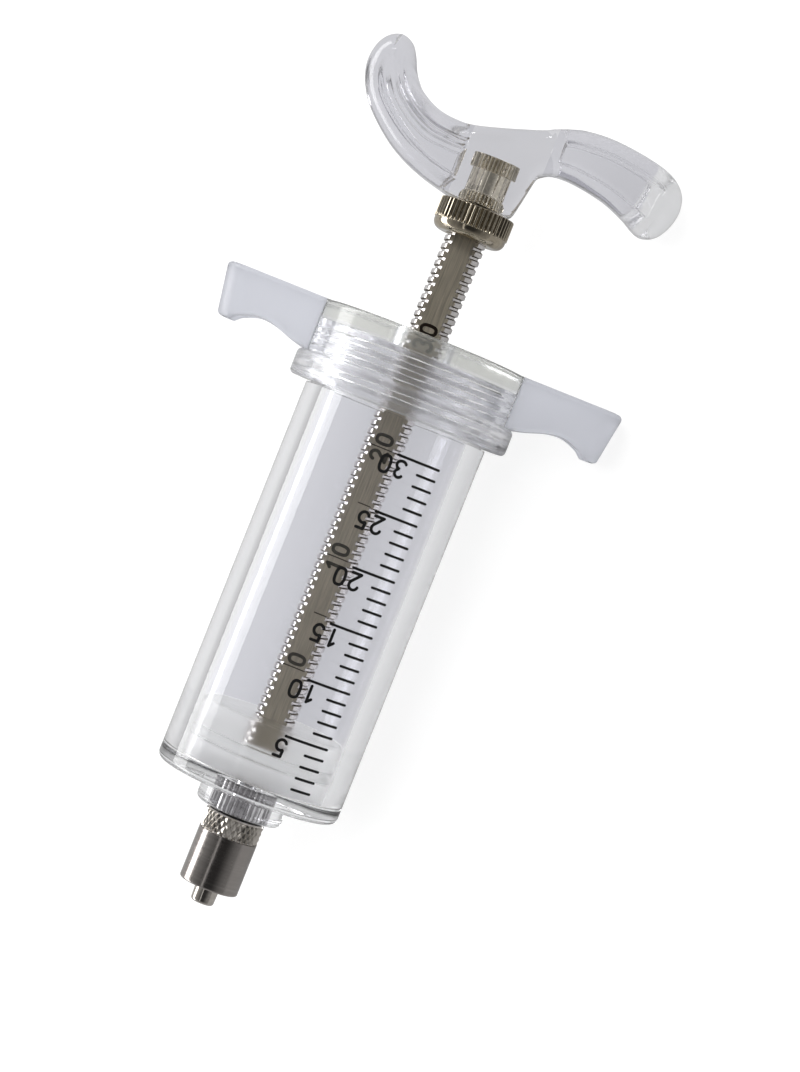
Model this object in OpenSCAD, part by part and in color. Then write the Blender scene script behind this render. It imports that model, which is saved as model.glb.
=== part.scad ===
// Dispensing syringe, 30 ml, lying on its side with the scale facing up.
// It rests on the cap's band and, rolled over to that side, on one wing tip.
// Each piece is drawn standing, with the syringe's axis along Z, the inner
// floor of the barrel at Z = 0 and the scale facing -Y, and lay() turns it over.
// All lengths are in millimetres.

/* [Barrel] */
// Volume between the zero and the full mark, in millilitres
capacity_ml = 30; // [20:5:40]
// Inner diameter of the barrel
bore_d = 25.5; // [24:0.5:28]
// Thickness of the barrel wall
barrel_wall = 3.25; // [2.75:0.25:4.5]
// Thickness of the barrel's end wall
floor_t = 2.6; // [2.2:0.1:4]
// Length of barrel above the full mark
neck_len = 16.4; // [14:0.2:22]
// Radius of the rounded edge round the end wall
barrel_edge_r = 1.6; // [0.8:0.1:2]
// Radius of the rim's outer edge
rim_edge_r = 0.5; // [0.2:0.1:0.8]
// Depth by which the neck under the cap is set back for its thread
neck_inset = 0.7; // [0.4:0.05:1]
// Diameter of the boss that holds the nozzle bush
boss_d = 15; // [13:0.5:18]
// Height of the boss below the end wall
boss_len = 4.1; // [3:0.1:6]
// Radius of the boss's rounded edge
boss_edge_r = 1; // [0.4:0.1:1.5]
// Diameter of the drilled way through the end wall
port_d = 3; // [2:0.25:3.5]

/* [Cap] */
// Diameter of the cap's body
cap_d = 36.6; // [36:0.2:42]
// Diameter of the band at the cap's lower end
cap_flange_d = 38.5; // [38:0.25:46]
// Height of that band
cap_flange_h = 4.5; // [3:0.25:6]
// Thickness of the cap's top plate
cap_plate_t = 3.2; // [2.4:0.2:5]
// Length of the skirt that screws over the barrel
cap_skirt_len = 10.3; // [9:0.1:13]
// Diameter of the hole that guides the spindle
cap_hole_d = 8.2; // [7.8:0.1:10]
// Radius of the cap's rounded edges
cap_edge_r = 0.8; // [0.4:0.1:1.2]
// Gap between the skirt and the neck, which the thread takes up
cap_gap = 0.3; // [0.2:0.05:0.5]

/* [Finger wings] */
// Span across both wing tips
wing_span = 70.2; // [64:0.2:80]
// Depth of a wing, front to back
wing_depth = 12; // [9:0.5:18]
// Thickness of a wing at its middle
wing_t = 7; // [5:0.25:8.5]
// How far the tip reaches down below the middle
wing_lip = 2.1; // [1:0.1:3]
// How far the tip's end leans in from top to bottom
wing_lean = 1.2; // [0.5:0.1:2]
// Width of the lip at the tip
wing_lip_w = 4; // [3:0.25:5]
// Added thickness where the wing meets the cap
wing_root_extra = 2.6; // [1.5:0.1:3]
// Radius of the hollow where the wing meets the cap
wing_flare_r = 1; // [0.5:0.25:3]

/* [Spindle] */
// Diameter over the thread's crests
thread_d = 7; // [6.2:0.1:7.4]
// Diameter at the thread's root
thread_root_d = 6.2; // [5.4:0.1:6.4]
// Distance from one turn of the thread to the next
thread_pitch = 1.5; // [1.25:0.25:2]
// Share of the pitch that a crest's flat top takes
crest_share = 0.53; // [0.3:0.01:0.6]
// Slope of a crest's flanks, in degrees from square to the axis
flank_angle = 20; // [5:1:25]
// Distance between the two milled flats
across_flats = 5; // [4.6:0.1:5.4]
// Angle by which the graduated flat is turned from the front
flat_turn = 4; // [0:1:10]
// Diameter of the plain spigots at both ends
spigot_d = 5; // [4.2:0.1:5.1]
// Length of the spigot in the handle
spigot_len = 7; // [5:0.5:7.5]

/* [Dosing nut] */
// Diameter over the nut's knurl
nut_d = 12.9; // [11:0.1:15]
// Height of the whole nut
nut_h = 5.4; // [4.6:0.1:8]
// Height of the knurled band
nut_knurl_h = 3.6; // [2.4:0.1:3.8]
// Number of knurl grooves
nut_grooves = 48; // [36:2:60]
// Depth of a knurl groove
nut_groove_depth = 0.35; // [0.2:0.05:0.5]
// Radius of the nut's rounded lower edge
nut_edge_r = 1.5; // [0.8:0.1:1.7]
// Distance from the cap up to the parked nut
nut_park = 17.8; // [10:0.2:30]
// Gap between the parked nut and the handle
nut_gap = 0.3; // [0.2:0.05:0.6]

/* [Handle] */
// Thickness of the handle, front to back
handle_t = 11; // [9.5:0.5:15]
// Radius of the handle's long edges
handle_edge_r = 2.2; // [1:0.1:2.6]
// Depth of the moulded pockets in each face
pocket_depth = 3; // [1:0.25:4]

/* [Threaded inserts] */
// Diameter over an insert's knurl
insert_d = 8; // [7.4:0.1:8.6]
// Diameter of an insert's waist
insert_waist_d = 6.8; // [6.4:0.1:7]
// Length of the insert in the handle
handle_insert_len = 8; // [7.6:0.1:9.5]
// How deep that insert lies above the handle's underside
handle_insert_sink = 0.3; // [0.2:0.1:0.8]
// Diameter over the nozzle bush's knurl
bush_d = 7.2; // [6.8:0.1:8.6]
// Diameter of the nozzle bush's waist
bush_waist_d = 6.2; // [5.8:0.1:6.4]
// How far the nozzle bush stands above the barrel's underside
bush_reach = 1.3; // [0.8:0.1:1.6]
// Number of knurl teeth round an insert
insert_teeth = 24; // [18:2:30]
// Depth of an insert's knurl teeth
insert_tooth_depth = 0.4; // [0.2:0.05:0.5]
// Length of the handle insert's lower knurled band
insert_low_band = 1.8; // [1.2:0.1:2.6]
// Length of the handle insert's upper knurled band
insert_high_band = 2.4; // [1.2:0.1:3]
// Length of the nozzle bush's lower knurled band
bush_low_band = 2.6; // [1.5:0.1:3]
// Length of the nozzle bush's upper knurled band
bush_high_band = 2.3; // [1.5:0.1:2.5]

/* [Piston] */
// Thickness of the disc that faces the liquid
front_disc_t = 3.7; // [3:0.1:5]
// Width of the groove for the sealing ring
ring_groove_w = 1.9; // [1.5:0.1:3]
// Thickness of the disc behind the ring
rear_disc_t = 4.5; // [3.5:0.1:6]
// Gap between the discs and the bore
piston_gap = 0.3; // [0.2:0.05:0.4]
// Gap between the sealing ring and the bore
ring_gap = 0.05; // [0.02:0.01:0.1]
// Depth of the ring groove below the bore
ring_groove_depth = 2.1; // [1.6:0.1:3]
// How far the spindle reaches into the piston
spindle_seat = 5.2; // [4:0.1:6]

/* [Nozzle] */
// Diameter of the lock sleeve and of the knurled collar
sleeve_d = 10.2; // [9.6:0.1:12]
// Length of the lock sleeve
sleeve_len = 9.2; // [8:0.1:12]
// Inner diameter of the lock sleeve
sleeve_bore_d = 8; // [7.8:0.1:8.4]
// Length of the knurled collar
collar_len = 3.5; // [2.5:0.1:5]
// Thickness of the black sealing ring under the collar
seal_t = 0.6; // [0.4:0.1:1]
// Outer diameter of that ring
seal_d = 9.2; // [8.4:0.1:9.6]
// Diameter of the screwed stub in the bush
stub_d = 4.2; // [3.8:0.1:4.6]
// Length of the stub in the bush
stub_len = 4.6; // [3.5:0.1:4.8]
// Diameter of the luer cone at its end
luer_tip_d = 3.95; // [3.9:0.01:4]
// How far the cone reaches out of the sleeve
luer_reach = 3; // [2.2:0.1:4]
// Diameter of the way for the liquid
fluid_d = 2; // [1:0.1:2.4]

/* [Hidden] */
$fn = 96;
eps = 0.01;
running_gap = 0.08;
// Cone of the luer tip: six parts in a hundred on the diameter
luer_cone = 0.06;

bore_r = bore_d / 2;
barrel_r = bore_r + barrel_wall;
neck_r = barrel_r - neck_inset;
// Length of bore that holds the whole volume
scale_len = capacity_ml * 1000 / (PI * bore_r * bore_r);
rim_z = scale_len + neck_len;
underside_z = -floor_t;
boss_z = underside_z - boss_len;

cap_top_z = rim_z + cap_plate_t;
cap_low_z = rim_z - cap_skirt_len;
shoulder_z = cap_low_z - cap_gap;
wing_root_x = cap_d / 2;
// How far a wing's outline runs on inside the cap's body
wing_sink = 4;

piston_len = front_disc_t + ring_groove_w + rear_disc_t;
nut_z = cap_top_z + nut_park;
hub_z = nut_z + nut_h + nut_gap;
insert_z = hub_z + handle_insert_sink;

collar_z = boss_z - seal_t;
sleeve_z = collar_z - collar_len;
sleeve_end_z = sleeve_z - sleeve_len;
tip_z = sleeve_end_z - luer_reach;

// Handle outline, as X and height above the underside of its hub. Both edges have as
// many points, so that each point of the lower edge faces one of the upper edge.
hub_corner_left = [-5.1, 0];
hub_corner_right = [5.6, 0];
armpit = [7.1, 8.2];
right_end = [30.7, 8.8];
left_tip = [-22.3, 21.9];
lower_right = [
    [9.2, 9.4], [12.9, 9.5], [18.4, 8.6], [22.5, 7.1], [25.6, 5.5], [27.6, 5.4], [29.4, 6.5]
];
upper_edge = [
    [31.2, 11.7], [30.3, 14.5], [27.6, 16.6], [23.2, 17.8], [17, 18.5], [12.2, 18.2],
    [8, 16.8], [5.3, 15.6], [2.5, 14.4], [-3, 12.6], [-7.6, 12], [-12, 12.4],
    [-15.5, 14.2], [-16.7, 15.4], [-17.7, 16.8], [-18.9, 19.3], [-20.2, 21.1]
];
lower_left = [
    [-24.5, 20.9], [-25.9, 18.4], [-26.1, 14.9], [-24.6, 11], [-21.7, 7.6], [-16.9, 3.9], [-11.3, 1.4]
];
left_pocket = [
    [-5.7, 1.6], [-5.9, 8.6], [-8.2, 10.2], [-12.4, 10.9], [-16.4, 13], [-19.2, 16.6],
    [-21.2, 19.2], [-23.3, 18.9], [-24.2, 15.6], [-22.9, 11.7], [-19.9, 8.3], [-15.6, 5.1], [-10.7, 2.7]
];
right_pocket = [
    [9.2, 11], [9.2, 14.2], [13.6, 14.8], [18.6, 14.7], [23, 13.8], [25.8, 11.6],
    [25.9, 9], [23.7, 8.4], [18.6, 10.2], [13.6, 10.9]
];
handle_end_z = hub_z + left_tip[1];
curve_steps = 3;

axis_height = cap_flange_d / 2;
middle_z = (handle_end_z + tip_z) / 2;
// Centre of the rounded corner of the wing tip that the syringe rests on, and the roll
// about the axis that brings this corner down to where the cap's band lies
wing_tip_r = wing_depth / 3;
rest_corner = [wing_span / 2 - wing_tip_r, wing_depth / 2 - wing_tip_r];
roll = asin((axis_height - wing_tip_r) / norm(rest_corner)) - atan2(rest_corner[1], rest_corner[0]);

// Turns a standing piece over: its axis to +Y, its front up and rolled towards +X
module lay() {
    translate([0, -middle_z, axis_height]) rotate([0, roll, 0]) rotate([-90, 0, 0]) children();
}

// Point on the smooth curve from b to c, with a before and d after them
function curve_point(a, b, c, d, t) =
    (2 * b + (c - a) * t + (2 * a - 5 * b + 4 * c - d) * t * t
    + (3 * b - a - 3 * c + d) * t * t * t) / 2;

// Open smooth curve through the points, without its last point
function open_curve(pts, steps) = [
    for (i = [0:len(pts) - 2], s = [0:steps - 1])
    curve_point(pts[max(i - 1, 0)], pts[i], pts[i + 1], pts[min(i + 2, len(pts) - 1)], s / steps)
];

// Closed smooth curve through the points
function closed_curve(pts, steps) = let (n = len(pts)) [
    for (i = [0:n - 1], s = [0:steps - 1])
    curve_point(pts[(i + n - 1) % n], pts[i], pts[(i + 1) % n], pts[(i + 2) % n], s / steps)
];

// The closed outline moved inwards by d; the outline runs anticlockwise
function inset(pts, d) = let (n = len(pts)) [
    for (i = [0:n - 1])
    let (
        run = pts[(i + 1) % n] - pts[(i + n - 1) % n],
        side = [-run[1], run[0]] / norm(run)
    )
    pts[i] + d * side
];

// Waste outside a rounded corner at (x, z); side is 1 for an upper corner, -1 for a lower
module corner_waste(x, z, r, side) {
    difference() {
        translate([x - r, side > 0 ? z - r : z - 1]) square([r + 1, r + 1]);
        translate([x - r, z - side * r]) circle(r);
    }
}

// Section from radius r0 to r1 and height z0 to z1, its outer corners rounded where asked
module rounded_section(r0, r1, z0, z1, low_r, high_r) {
    difference() {
        translate([r0, z0]) square([r1 - r0, z1 - z0]);
        if (low_r > 0) corner_waste(r1, z0, low_r, -1);
        if (high_r > 0) corner_waste(r1, z1, high_r, 1);
    }
}

module rounded_drum(r, z0, z1, low_r, high_r) {
    rotate_extrude() rounded_section(0, r, z0, z1, low_r, high_r);
}

// Toothed disc of an insert's knurl
module knurl_band(d, z0, z1) {
    tip_r = d / 2;
    root_r = tip_r - insert_tooth_depth;
    pts = [
        for (i = [0:insert_teeth - 1], k = [0:3])
        let (a = (i + k / 4) * 360 / insert_teeth, r = k < 2 ? tip_r : root_r)
        [r * cos(a), r * sin(a)]
    ];
    translate([0, 0, z0]) linear_extrude(z1 - z0) polygon(pts);
}

// Outer shape of an insert: a knurled band at each end of a waist
module insert_shape(d, waist_d, z0, z1, low_band, high_band) {
    knurl_band(d, z0, z0 + low_band);
    translate([0, 0, z0]) cylinder(d = waist_d, h = z1 - z0);
    knurl_band(d, z1 - high_band, z1);
}

module nozzle_bush_shape() {
    top_z = underside_z + bush_reach;
    insert_shape(bush_d, bush_waist_d, boss_z, top_z, bush_low_band, bush_high_band);
}

module handle_insert_shape() {
    top_z = insert_z + handle_insert_len;
    insert_shape(insert_d, insert_waist_d, insert_z, top_z, insert_low_band, insert_high_band);
}

module barrel() {
    color("Lavender", 0.4) lay() difference() {
        union() {
            rounded_drum(barrel_r, underside_z, shoulder_z, barrel_edge_r, 0);
            rounded_drum(neck_r, shoulder_z - 1, rim_z, 0, rim_edge_r);
            rounded_drum(boss_d / 2, boss_z, underside_z + 1, boss_edge_r, 0);
        }
        cylinder(r = bore_r, h = rim_z + 1);
        translate([0, 0, underside_z]) cylinder(d = port_d, h = floor_t + 1);
        nozzle_bush_shape();
    }
}

module nozzle_bush() {
    color("Tan") lay() difference() {
        nozzle_bush_shape();
        translate([0, 0, boss_z - 1])
            cylinder(d = stub_d + 2 * running_gap, h = boss_len + bush_reach + 2);
    }
}

module nozzle_seal() {
    color("Black") lay() translate([0, 0, collar_z]) difference() {
        cylinder(d = seal_d, h = seal_t);
        translate([0, 0, -1]) cylinder(d = stub_d + 2 * running_gap, h = seal_t + 2);
    }
}

module nozzle() {
    cone_base_d = luer_tip_d + luer_cone * (sleeve_len + luer_reach);
    spigot_r = sleeve_bore_d / 2 - running_gap;
    sleeve_seat = 1.6;
    tip_edge = 0.5;
    color("Silver") lay() difference() {
        union() {
            translate([0, 0, collar_z]) cylinder(d = stub_d, h = seal_t + stub_len);
            rounded_drum(sleeve_d / 2, sleeve_z, collar_z, 0.2, 0.4);
            translate([0, 0, sleeve_z - sleeve_seat]) cylinder(r = spigot_r, h = sleeve_seat + eps);
            translate([0, 0, tip_z + tip_edge])
                cylinder(d1 = luer_tip_d, d2 = cone_base_d, h = sleeve_z - tip_z - tip_edge);
            rounded_drum(luer_tip_d / 2, tip_z, tip_z + tip_edge, tip_edge, 0);
        }
        translate([0, 0, tip_z - 1]) cylinder(d = fluid_d, h = boss_z + stub_len - tip_z + 2);
    }
}

module lock_sleeve() {
    color("LightSlateGray") lay() difference() {
        rounded_drum(sleeve_d / 2, sleeve_end_z, sleeve_z, 0.3, 0.15);
        translate([0, 0, sleeve_end_z - 1]) cylinder(d = sleeve_bore_d, h = sleeve_len + 2);
    }
}

// Side outline of the right wing, flush with the cap's top. The underside hangs as a lip at
// the tip, rises to the thinnest place and falls again towards the cap.
module wing_side() {
    tip_x = wing_span / 2;
    tip_edge = 0.8;
    lip_z = wing_t + wing_lip;
    lip_x = tip_x - wing_lean;
    slope_x = tip_x - wing_lip_w;
    thin_x = [slope_x - 3.4, slope_x - 6.5];
    root_z = wing_t + wing_root_extra;
    lower = open_curve([
        [lip_x, -lip_z + tip_edge], [lip_x - 1, -lip_z], [slope_x, -lip_z + wing_lip / 2],
        [thin_x[0], -wing_t], [thin_x[1], -wing_t - 0.2],
        [wing_root_x + 2.6, -(wing_t + root_z) / 2], [wing_root_x - 1, -root_z]
    ], curve_steps);
    polygon(concat(
        [[wing_root_x - wing_sink, 0], [tip_x - tip_edge, 0]],
        [[tip_x - tip_edge / 4, -tip_edge / 4], [tip_x, -tip_edge]],
        lower,
        [[wing_root_x - wing_sink, -root_z]]
    ));
}

// Outline of the right wing from above: a rounded tip, straight sides, and a hollow on
// either side that runs tangent into the cap's round body
module wing_plan() {
    half = wing_depth / 2;
    tip_x = rest_corner[0];
    flare_y = half + wing_flare_r;
    flare_x = sqrt(pow(wing_root_x + wing_flare_r, 2) - pow(flare_y, 2));
    meet = wing_root_x / norm([flare_x, flare_y]) * [flare_x, flare_y];
    root_x = meet[0] - wing_sink;
    difference() {
        union() {
            translate([root_x, -half]) square([tip_x - root_x, wing_depth]);
            translate([root_x, -meet[1]]) square([flare_x - root_x, 2 * meet[1]]);
            translate([tip_x - eps, -rest_corner[1]])
                square([wing_tip_r + eps, 2 * rest_corner[1]]);
            for (s = [-1, 1]) translate([tip_x, s * rest_corner[1]]) circle(wing_tip_r);
        }
        for (s = [-1, 1]) translate([flare_x, s * flare_y]) circle(wing_flare_r);
    }
}

module wing() {
    reach_z = 2 * (wing_t + wing_lip);
    translate([0, 0, cap_top_z]) intersection() {
        translate([0, wing_depth, 0]) rotate([90, 0, 0])
            linear_extrude(2 * wing_depth) wing_side();
        translate([0, 0, -reach_z]) linear_extrude(reach_z + 1) wing_plan();
    }
}

module cap() {
    color("Ivory", 0.5) lay() difference() {
        union() {
            rounded_drum(cap_d / 2, cap_low_z + cap_edge_r, cap_top_z, 0, cap_edge_r);
            rounded_drum(cap_flange_d / 2, cap_low_z, cap_low_z + cap_flange_h, cap_edge_r, cap_edge_r);
            wing();
            mirror([1, 0, 0]) wing();
        }
        translate([0, 0, cap_low_z - 1]) cylinder(r = neck_r + cap_gap, h = cap_skirt_len + 1);
        translate([0, 0, rim_z - 1]) cylinder(d = cap_hole_d, h = cap_plate_t + 2);
    }
}

// One side's share of a turn of thread, tilted to the lead angle, its foot inside the core
module crest() {
    lead_angle = atan(thread_pitch / (PI * thread_d));
    crest_r = thread_d / 2;
    foot_r = thread_root_d / 2 - 0.5;
    top = crest_share * thread_pitch / 2;
    foot = top + (crest_r - foot_r) * tan(flank_angle);
    reach = 82;
    rotate([lead_angle, 0, 0]) rotate([0, 0, -reach]) rotate_extrude(angle = 2 * reach)
        polygon([[foot_r, -foot], [crest_r, -top], [crest_r, top], [foot_r, foot]]);
}

module spindle() {
    low_z = spindle_seat;
    thread_low = low_z + thread_pitch;
    turns = floor((hub_z - thread_low) / thread_pitch) - 1;
    color("Gray") lay() rotate([0, 0, -flat_turn]) union() {
        intersection() {
            union() {
                translate([0, 0, low_z]) cylinder(d = thread_root_d, h = hub_z - low_z);
                for (i = [0:turns]) translate([0, 0, thread_low + i * thread_pitch]) {
                    crest();
                    translate([0, 0, thread_pitch / 2]) rotate([0, 0, 180]) crest();
                }
            }
            translate([-thread_d, -across_flats / 2, low_z - 1])
                cube([2 * thread_d, across_flats, hub_z - low_z + 2]);
        }
        translate([0, 0, hub_z - eps]) cylinder(d = spigot_d, h = spigot_len);
    }
}

module nut_groove(z) {
    side = nut_groove_depth * sqrt(2);
    translate([nut_d / 2, 0, z]) rotate([0, 0, 45])
        translate([-side / 2, -side / 2, 0]) cube([side, side, nut_knurl_h]);
}

module dosing_nut() {
    knurl_z = nut_z + nut_h - nut_knurl_h;
    collar_r = nut_d / 2 - nut_groove_depth / 2;
    color("DarkKhaki") lay() difference() {
        union() {
            rounded_drum(nut_d / 2, knurl_z, nut_z + nut_h, 0.3, 0.3);
            rounded_drum(collar_r, nut_z, knurl_z + 1, nut_edge_r, 0);
        }
        for (i = [0:nut_grooves - 1]) rotate([0, 0, i * 360 / nut_grooves]) nut_groove(knurl_z);
        translate([0, 0, nut_z - 1]) cylinder(d = thread_d + 2 * running_gap, h = nut_h + 2);
    }
}

// Points that divide the straight line from a to b, without b
function line_points(a, b, steps) = [for (s = [0:steps - 1]) a + (b - a) * s / steps];

// Solid plate of the handle: the outline carried through its thickness with rounded edges,
// and each face closed by strips that run from the upper edge to the lower one
module handle_plate() {
    outline = concat(
        open_curve(concat(
            [armpit], lower_right, [right_end], upper_edge, [left_tip], lower_left, [hub_corner_left]
        ), curve_steps),
        line_points(hub_corner_left, hub_corner_right, curve_steps),
        line_points(hub_corner_right, armpit, curve_steps)
    );
    n = len(outline);
    end_i = (len(lower_right) + 1) * curve_steps;
    edge_steps = 3;
    half = handle_t / 2;
    edge = [for (i = [0:edge_steps]) let (a = 90 * i / edge_steps)
        [handle_edge_r * (1 - sin(a)), half - handle_edge_r * (1 - cos(a))]];
    levels = concat(
        [for (e = edge) [e[0], -e[1]]],
        [for (i = [edge_steps:-1:0]) edge[i]]
    );
    last = (len(levels) - 1) * n;
    sides = [
        for (k = [0:len(levels) - 2], i = [0:n - 1]) let (j = (i + 1) % n)
        each [[k * n + i, k * n + j, (k + 1) * n + i], [k * n + j, (k + 1) * n + j, (k + 1) * n + i]]
    ];
    strips = [
        for (k = [0:n / 2 - 1])
        let (
            up = (end_i + k) % n, up_next = (end_i + k + 1) % n,
            low = (end_i - k + n) % n, low_next = (end_i - k - 1 + n) % n
        )
        each concat(
            k > 0 ? [[low, up_next, up]] : [],
            k < n / 2 - 1 ? [[low_next, up_next, low]] : []
        )
    ];
    polyhedron(
        points = [for (l = levels) each [for (p = inset(outline, l[0])) [p[0], l[1], p[1]]]],
        faces = concat(sides, strips, [for (f = strips) [last + f[2], last + f[1], last + f[0]]])
    );
}

module pocket(pts) {
    for (s = [0, 1]) mirror([0, s, 0])
        translate([0, handle_t / 2 + 1, 0]) rotate([90, 0, 0])
        linear_extrude(pocket_depth + 1) polygon(closed_curve(pts, curve_steps));
}

module handle() {
    color("AliceBlue", 0.4) lay() difference() {
        translate([0, 0, hub_z]) difference() {
            handle_plate();
            pocket(left_pocket);
            pocket(right_pocket);
        }
        handle_insert_shape();
        translate([0, 0, hub_z - 1])
            cylinder(d = thread_d + 2 * running_gap, h = handle_insert_sink + 1);
    }
}

module handle_insert() {
    color("Wheat") lay() difference() {
        handle_insert_shape();
        translate([0, 0, insert_z - 1])
            cylinder(d = spigot_d + 2 * running_gap, h = handle_insert_len + 2);
    }
}

module piston() {
    disc_r = bore_r - piston_gap;
    color("WhiteSmoke", 0.8) lay() difference() {
        union() {
            rounded_drum(disc_r, 0, front_disc_t, 0.4, 0.3);
            cylinder(r = bore_r - ring_groove_depth, h = piston_len);
            rounded_drum(disc_r, front_disc_t + ring_groove_w, piston_len, 0.3, 0.6);
        }
        translate([0, 0, spindle_seat])
            cylinder(d = thread_d + 2 * running_gap, h = piston_len);
    }
}

module piston_ring() {
    inner_r = bore_r - ring_groove_depth + running_gap;
    outer_r = bore_r - ring_gap;
    z0 = front_disc_t + running_gap;
    z1 = front_disc_t + ring_groove_w - running_gap;
    color("White", 0.8) lay() rotate_extrude() rounded_section(inner_r, outer_r, z0, z1, 0.6, 0.6);
}

barrel();
nozzle_bush();
nozzle_seal();
nozzle();
lock_sleeve();
cap();
spindle();
dosing_nut();
handle();
handle_insert();
piston();
piston_ring();
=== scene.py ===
"""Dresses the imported 30 ml dosing syringe: clear plastic, nickel and printed scales.

Every piece is drawn standing, in millimetres: the syringe's axis is Z, the barrel's inner
floor is at Z = 0 and the scale faces -Y. Bench.lay() turns such points over into the part's
own frame, in metres, where the syringe lies along +Y with its scale facing up.
"""

from __future__ import annotations

import logging
import math
from dataclasses import dataclass
from enum import Enum
from typing import Callable, Sequence

import bmesh
import bpy
import numpy as np
from mathutils import Matrix, Vector

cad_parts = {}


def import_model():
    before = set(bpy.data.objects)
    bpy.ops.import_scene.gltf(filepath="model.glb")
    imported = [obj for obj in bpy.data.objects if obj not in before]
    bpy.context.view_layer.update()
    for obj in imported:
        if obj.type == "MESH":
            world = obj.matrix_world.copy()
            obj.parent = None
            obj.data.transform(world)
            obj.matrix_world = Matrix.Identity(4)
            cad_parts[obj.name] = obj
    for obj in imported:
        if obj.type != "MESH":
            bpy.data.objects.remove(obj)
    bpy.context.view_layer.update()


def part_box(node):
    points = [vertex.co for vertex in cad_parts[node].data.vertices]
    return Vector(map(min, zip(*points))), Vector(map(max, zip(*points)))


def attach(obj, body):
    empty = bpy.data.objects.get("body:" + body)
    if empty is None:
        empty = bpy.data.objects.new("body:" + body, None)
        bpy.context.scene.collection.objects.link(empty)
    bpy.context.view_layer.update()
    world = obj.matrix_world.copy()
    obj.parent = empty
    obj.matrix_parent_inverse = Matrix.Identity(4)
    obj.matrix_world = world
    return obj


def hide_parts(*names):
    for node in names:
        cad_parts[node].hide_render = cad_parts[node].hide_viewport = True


LOG = logging.getLogger("syringe")
MM = 0.001
TURN = 2 * math.pi
# A corner flatter than this stays as it is
STRAIGHT = math.radians(89)
# Points closer than this are one, in metres
WELD = 1e-6
# A face or a point this near to a wall, in millimetres, is on it
NEAR = 0.1
# The cap's wings, which also set how the syringe lies
WING_SPAN = 70.2
WING_DEPTH = 12.0
WING_TIP_R = WING_DEPTH / 3
Relief = Callable[[np.ndarray, np.ndarray, np.ndarray], np.ndarray]
Zones = Callable[[np.ndarray, np.ndarray], np.ndarray]
Pairs = tuple[tuple[float, float], ...]


# Sections, curves and grids


@dataclass(frozen=True)
class Corner:
    """One corner of a section: radius, height, radius of its rounding, steps to the next."""

    r: float
    z: float
    fillet: float = 0.0
    steps: int = 1


def smoothstep(value: np.ndarray) -> np.ndarray:
    """Returns 3v² - 2v³ of each value held between 0 and 1."""
    held = np.clip(value, 0.0, 1.0)
    return held * held * (3 - 2 * held)


def along(stations: np.ndarray, stops: Pairs) -> np.ndarray:
    """Column of values at given stations, in straight lines between stops.

    Args:
        stations: where the values are wanted.
        stops: pairs of a station and its value.

    Returns:
        The values as one column.
    """
    places, values = zip(*stops)
    return np.interp(stations, places, values)[:, None]


def section(corners: Sequence[Corner], arc_steps: int = 6, guard: float = 0.05) -> np.ndarray:
    """Closed section in which each corner is cut back to an arc.

    A point at a short guard distance outside both ends of an arc keeps its shading off the
    flat faces beside it.

    Args:
        corners: the corners in order round the section.
        arc_steps: steps in each arc.
        guard: distance of the guard points in millimetres.

    Returns:
        Points (radius, height), without repeating the first.
    """
    places = np.array([(c.r, c.z) for c in corners], float)
    arcs = []
    for i, corner in enumerate(corners):
        here = places[i]
        back = places[i - 1] - here
        ahead = places[(i + 1) % len(places)] - here
        back /= np.linalg.norm(back)
        ahead /= np.linalg.norm(ahead)
        half = math.acos(float(np.clip(back @ ahead, -1, 1))) / 2
        if corner.fillet <= 0 or half > STRAIGHT:
            arcs.append(here[None])
            continue
        reach = corner.fillet / math.tan(half)
        middle = back + ahead
        centre = here + middle / np.linalg.norm(middle) * corner.fillet / math.sin(half)
        start, end = here + back * reach, here + ahead * reach
        turn = math.pi - 2 * half
        t = np.linspace(0, 1, arc_steps + 1)[:, None]
        arms = np.sin((1 - t) * turn) * (start - centre) + np.sin(t * turn) * (end - centre)
        arc = centre + arms / math.sin(turn)
        arcs.append(np.vstack([start + back * guard, arc, end + ahead * guard]))
    pieces = []
    for i, corner in enumerate(corners):
        pieces.append(arcs[i])
        if corner.steps > 1:
            t = np.linspace(0, 1, corner.steps + 1)[1:-1, None]
            pieces.append(arcs[i][-1] + t * (arcs[(i + 1) % len(arcs)][0] - arcs[i][-1]))
    return np.vstack(pieces)


def faded(z: np.ndarray, low: float, high: float, length: float) -> np.ndarray:
    """Share of a thread's height at each z: 0 at both ends, and 1 a length further in."""
    return smoothstep((z - low) / length) * smoothstep((high - z) / length)


def ring_angles(count: int) -> np.ndarray:
    """Evenly spaced angles round a full turn, without the last."""
    return np.arange(count) * TURN / count


def lathe(outline: np.ndarray, angles: np.ndarray, relief: Relief | None = None) -> np.ndarray:
    """Carries a section round the axis, with the radius changed by a relief.

    Args:
        outline: points (radius, height) of the section.
        angles: angles round the axis.
        relief: change of radius as a function of angle, radius and height.

    Returns:
        Grid of points, rows along the section and columns round the axis.
    """
    r = outline[:, :1]
    z = np.broadcast_to(outline[:, 1:], (len(outline), len(angles)))
    theta = np.broadcast_to(angles, z.shape)
    r = np.broadcast_to(r, z.shape)
    if relief is not None:
        r = r + relief(theta, r, z)
    return np.stack([r * np.cos(theta), r * np.sin(theta), z], axis=-1)


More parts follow.
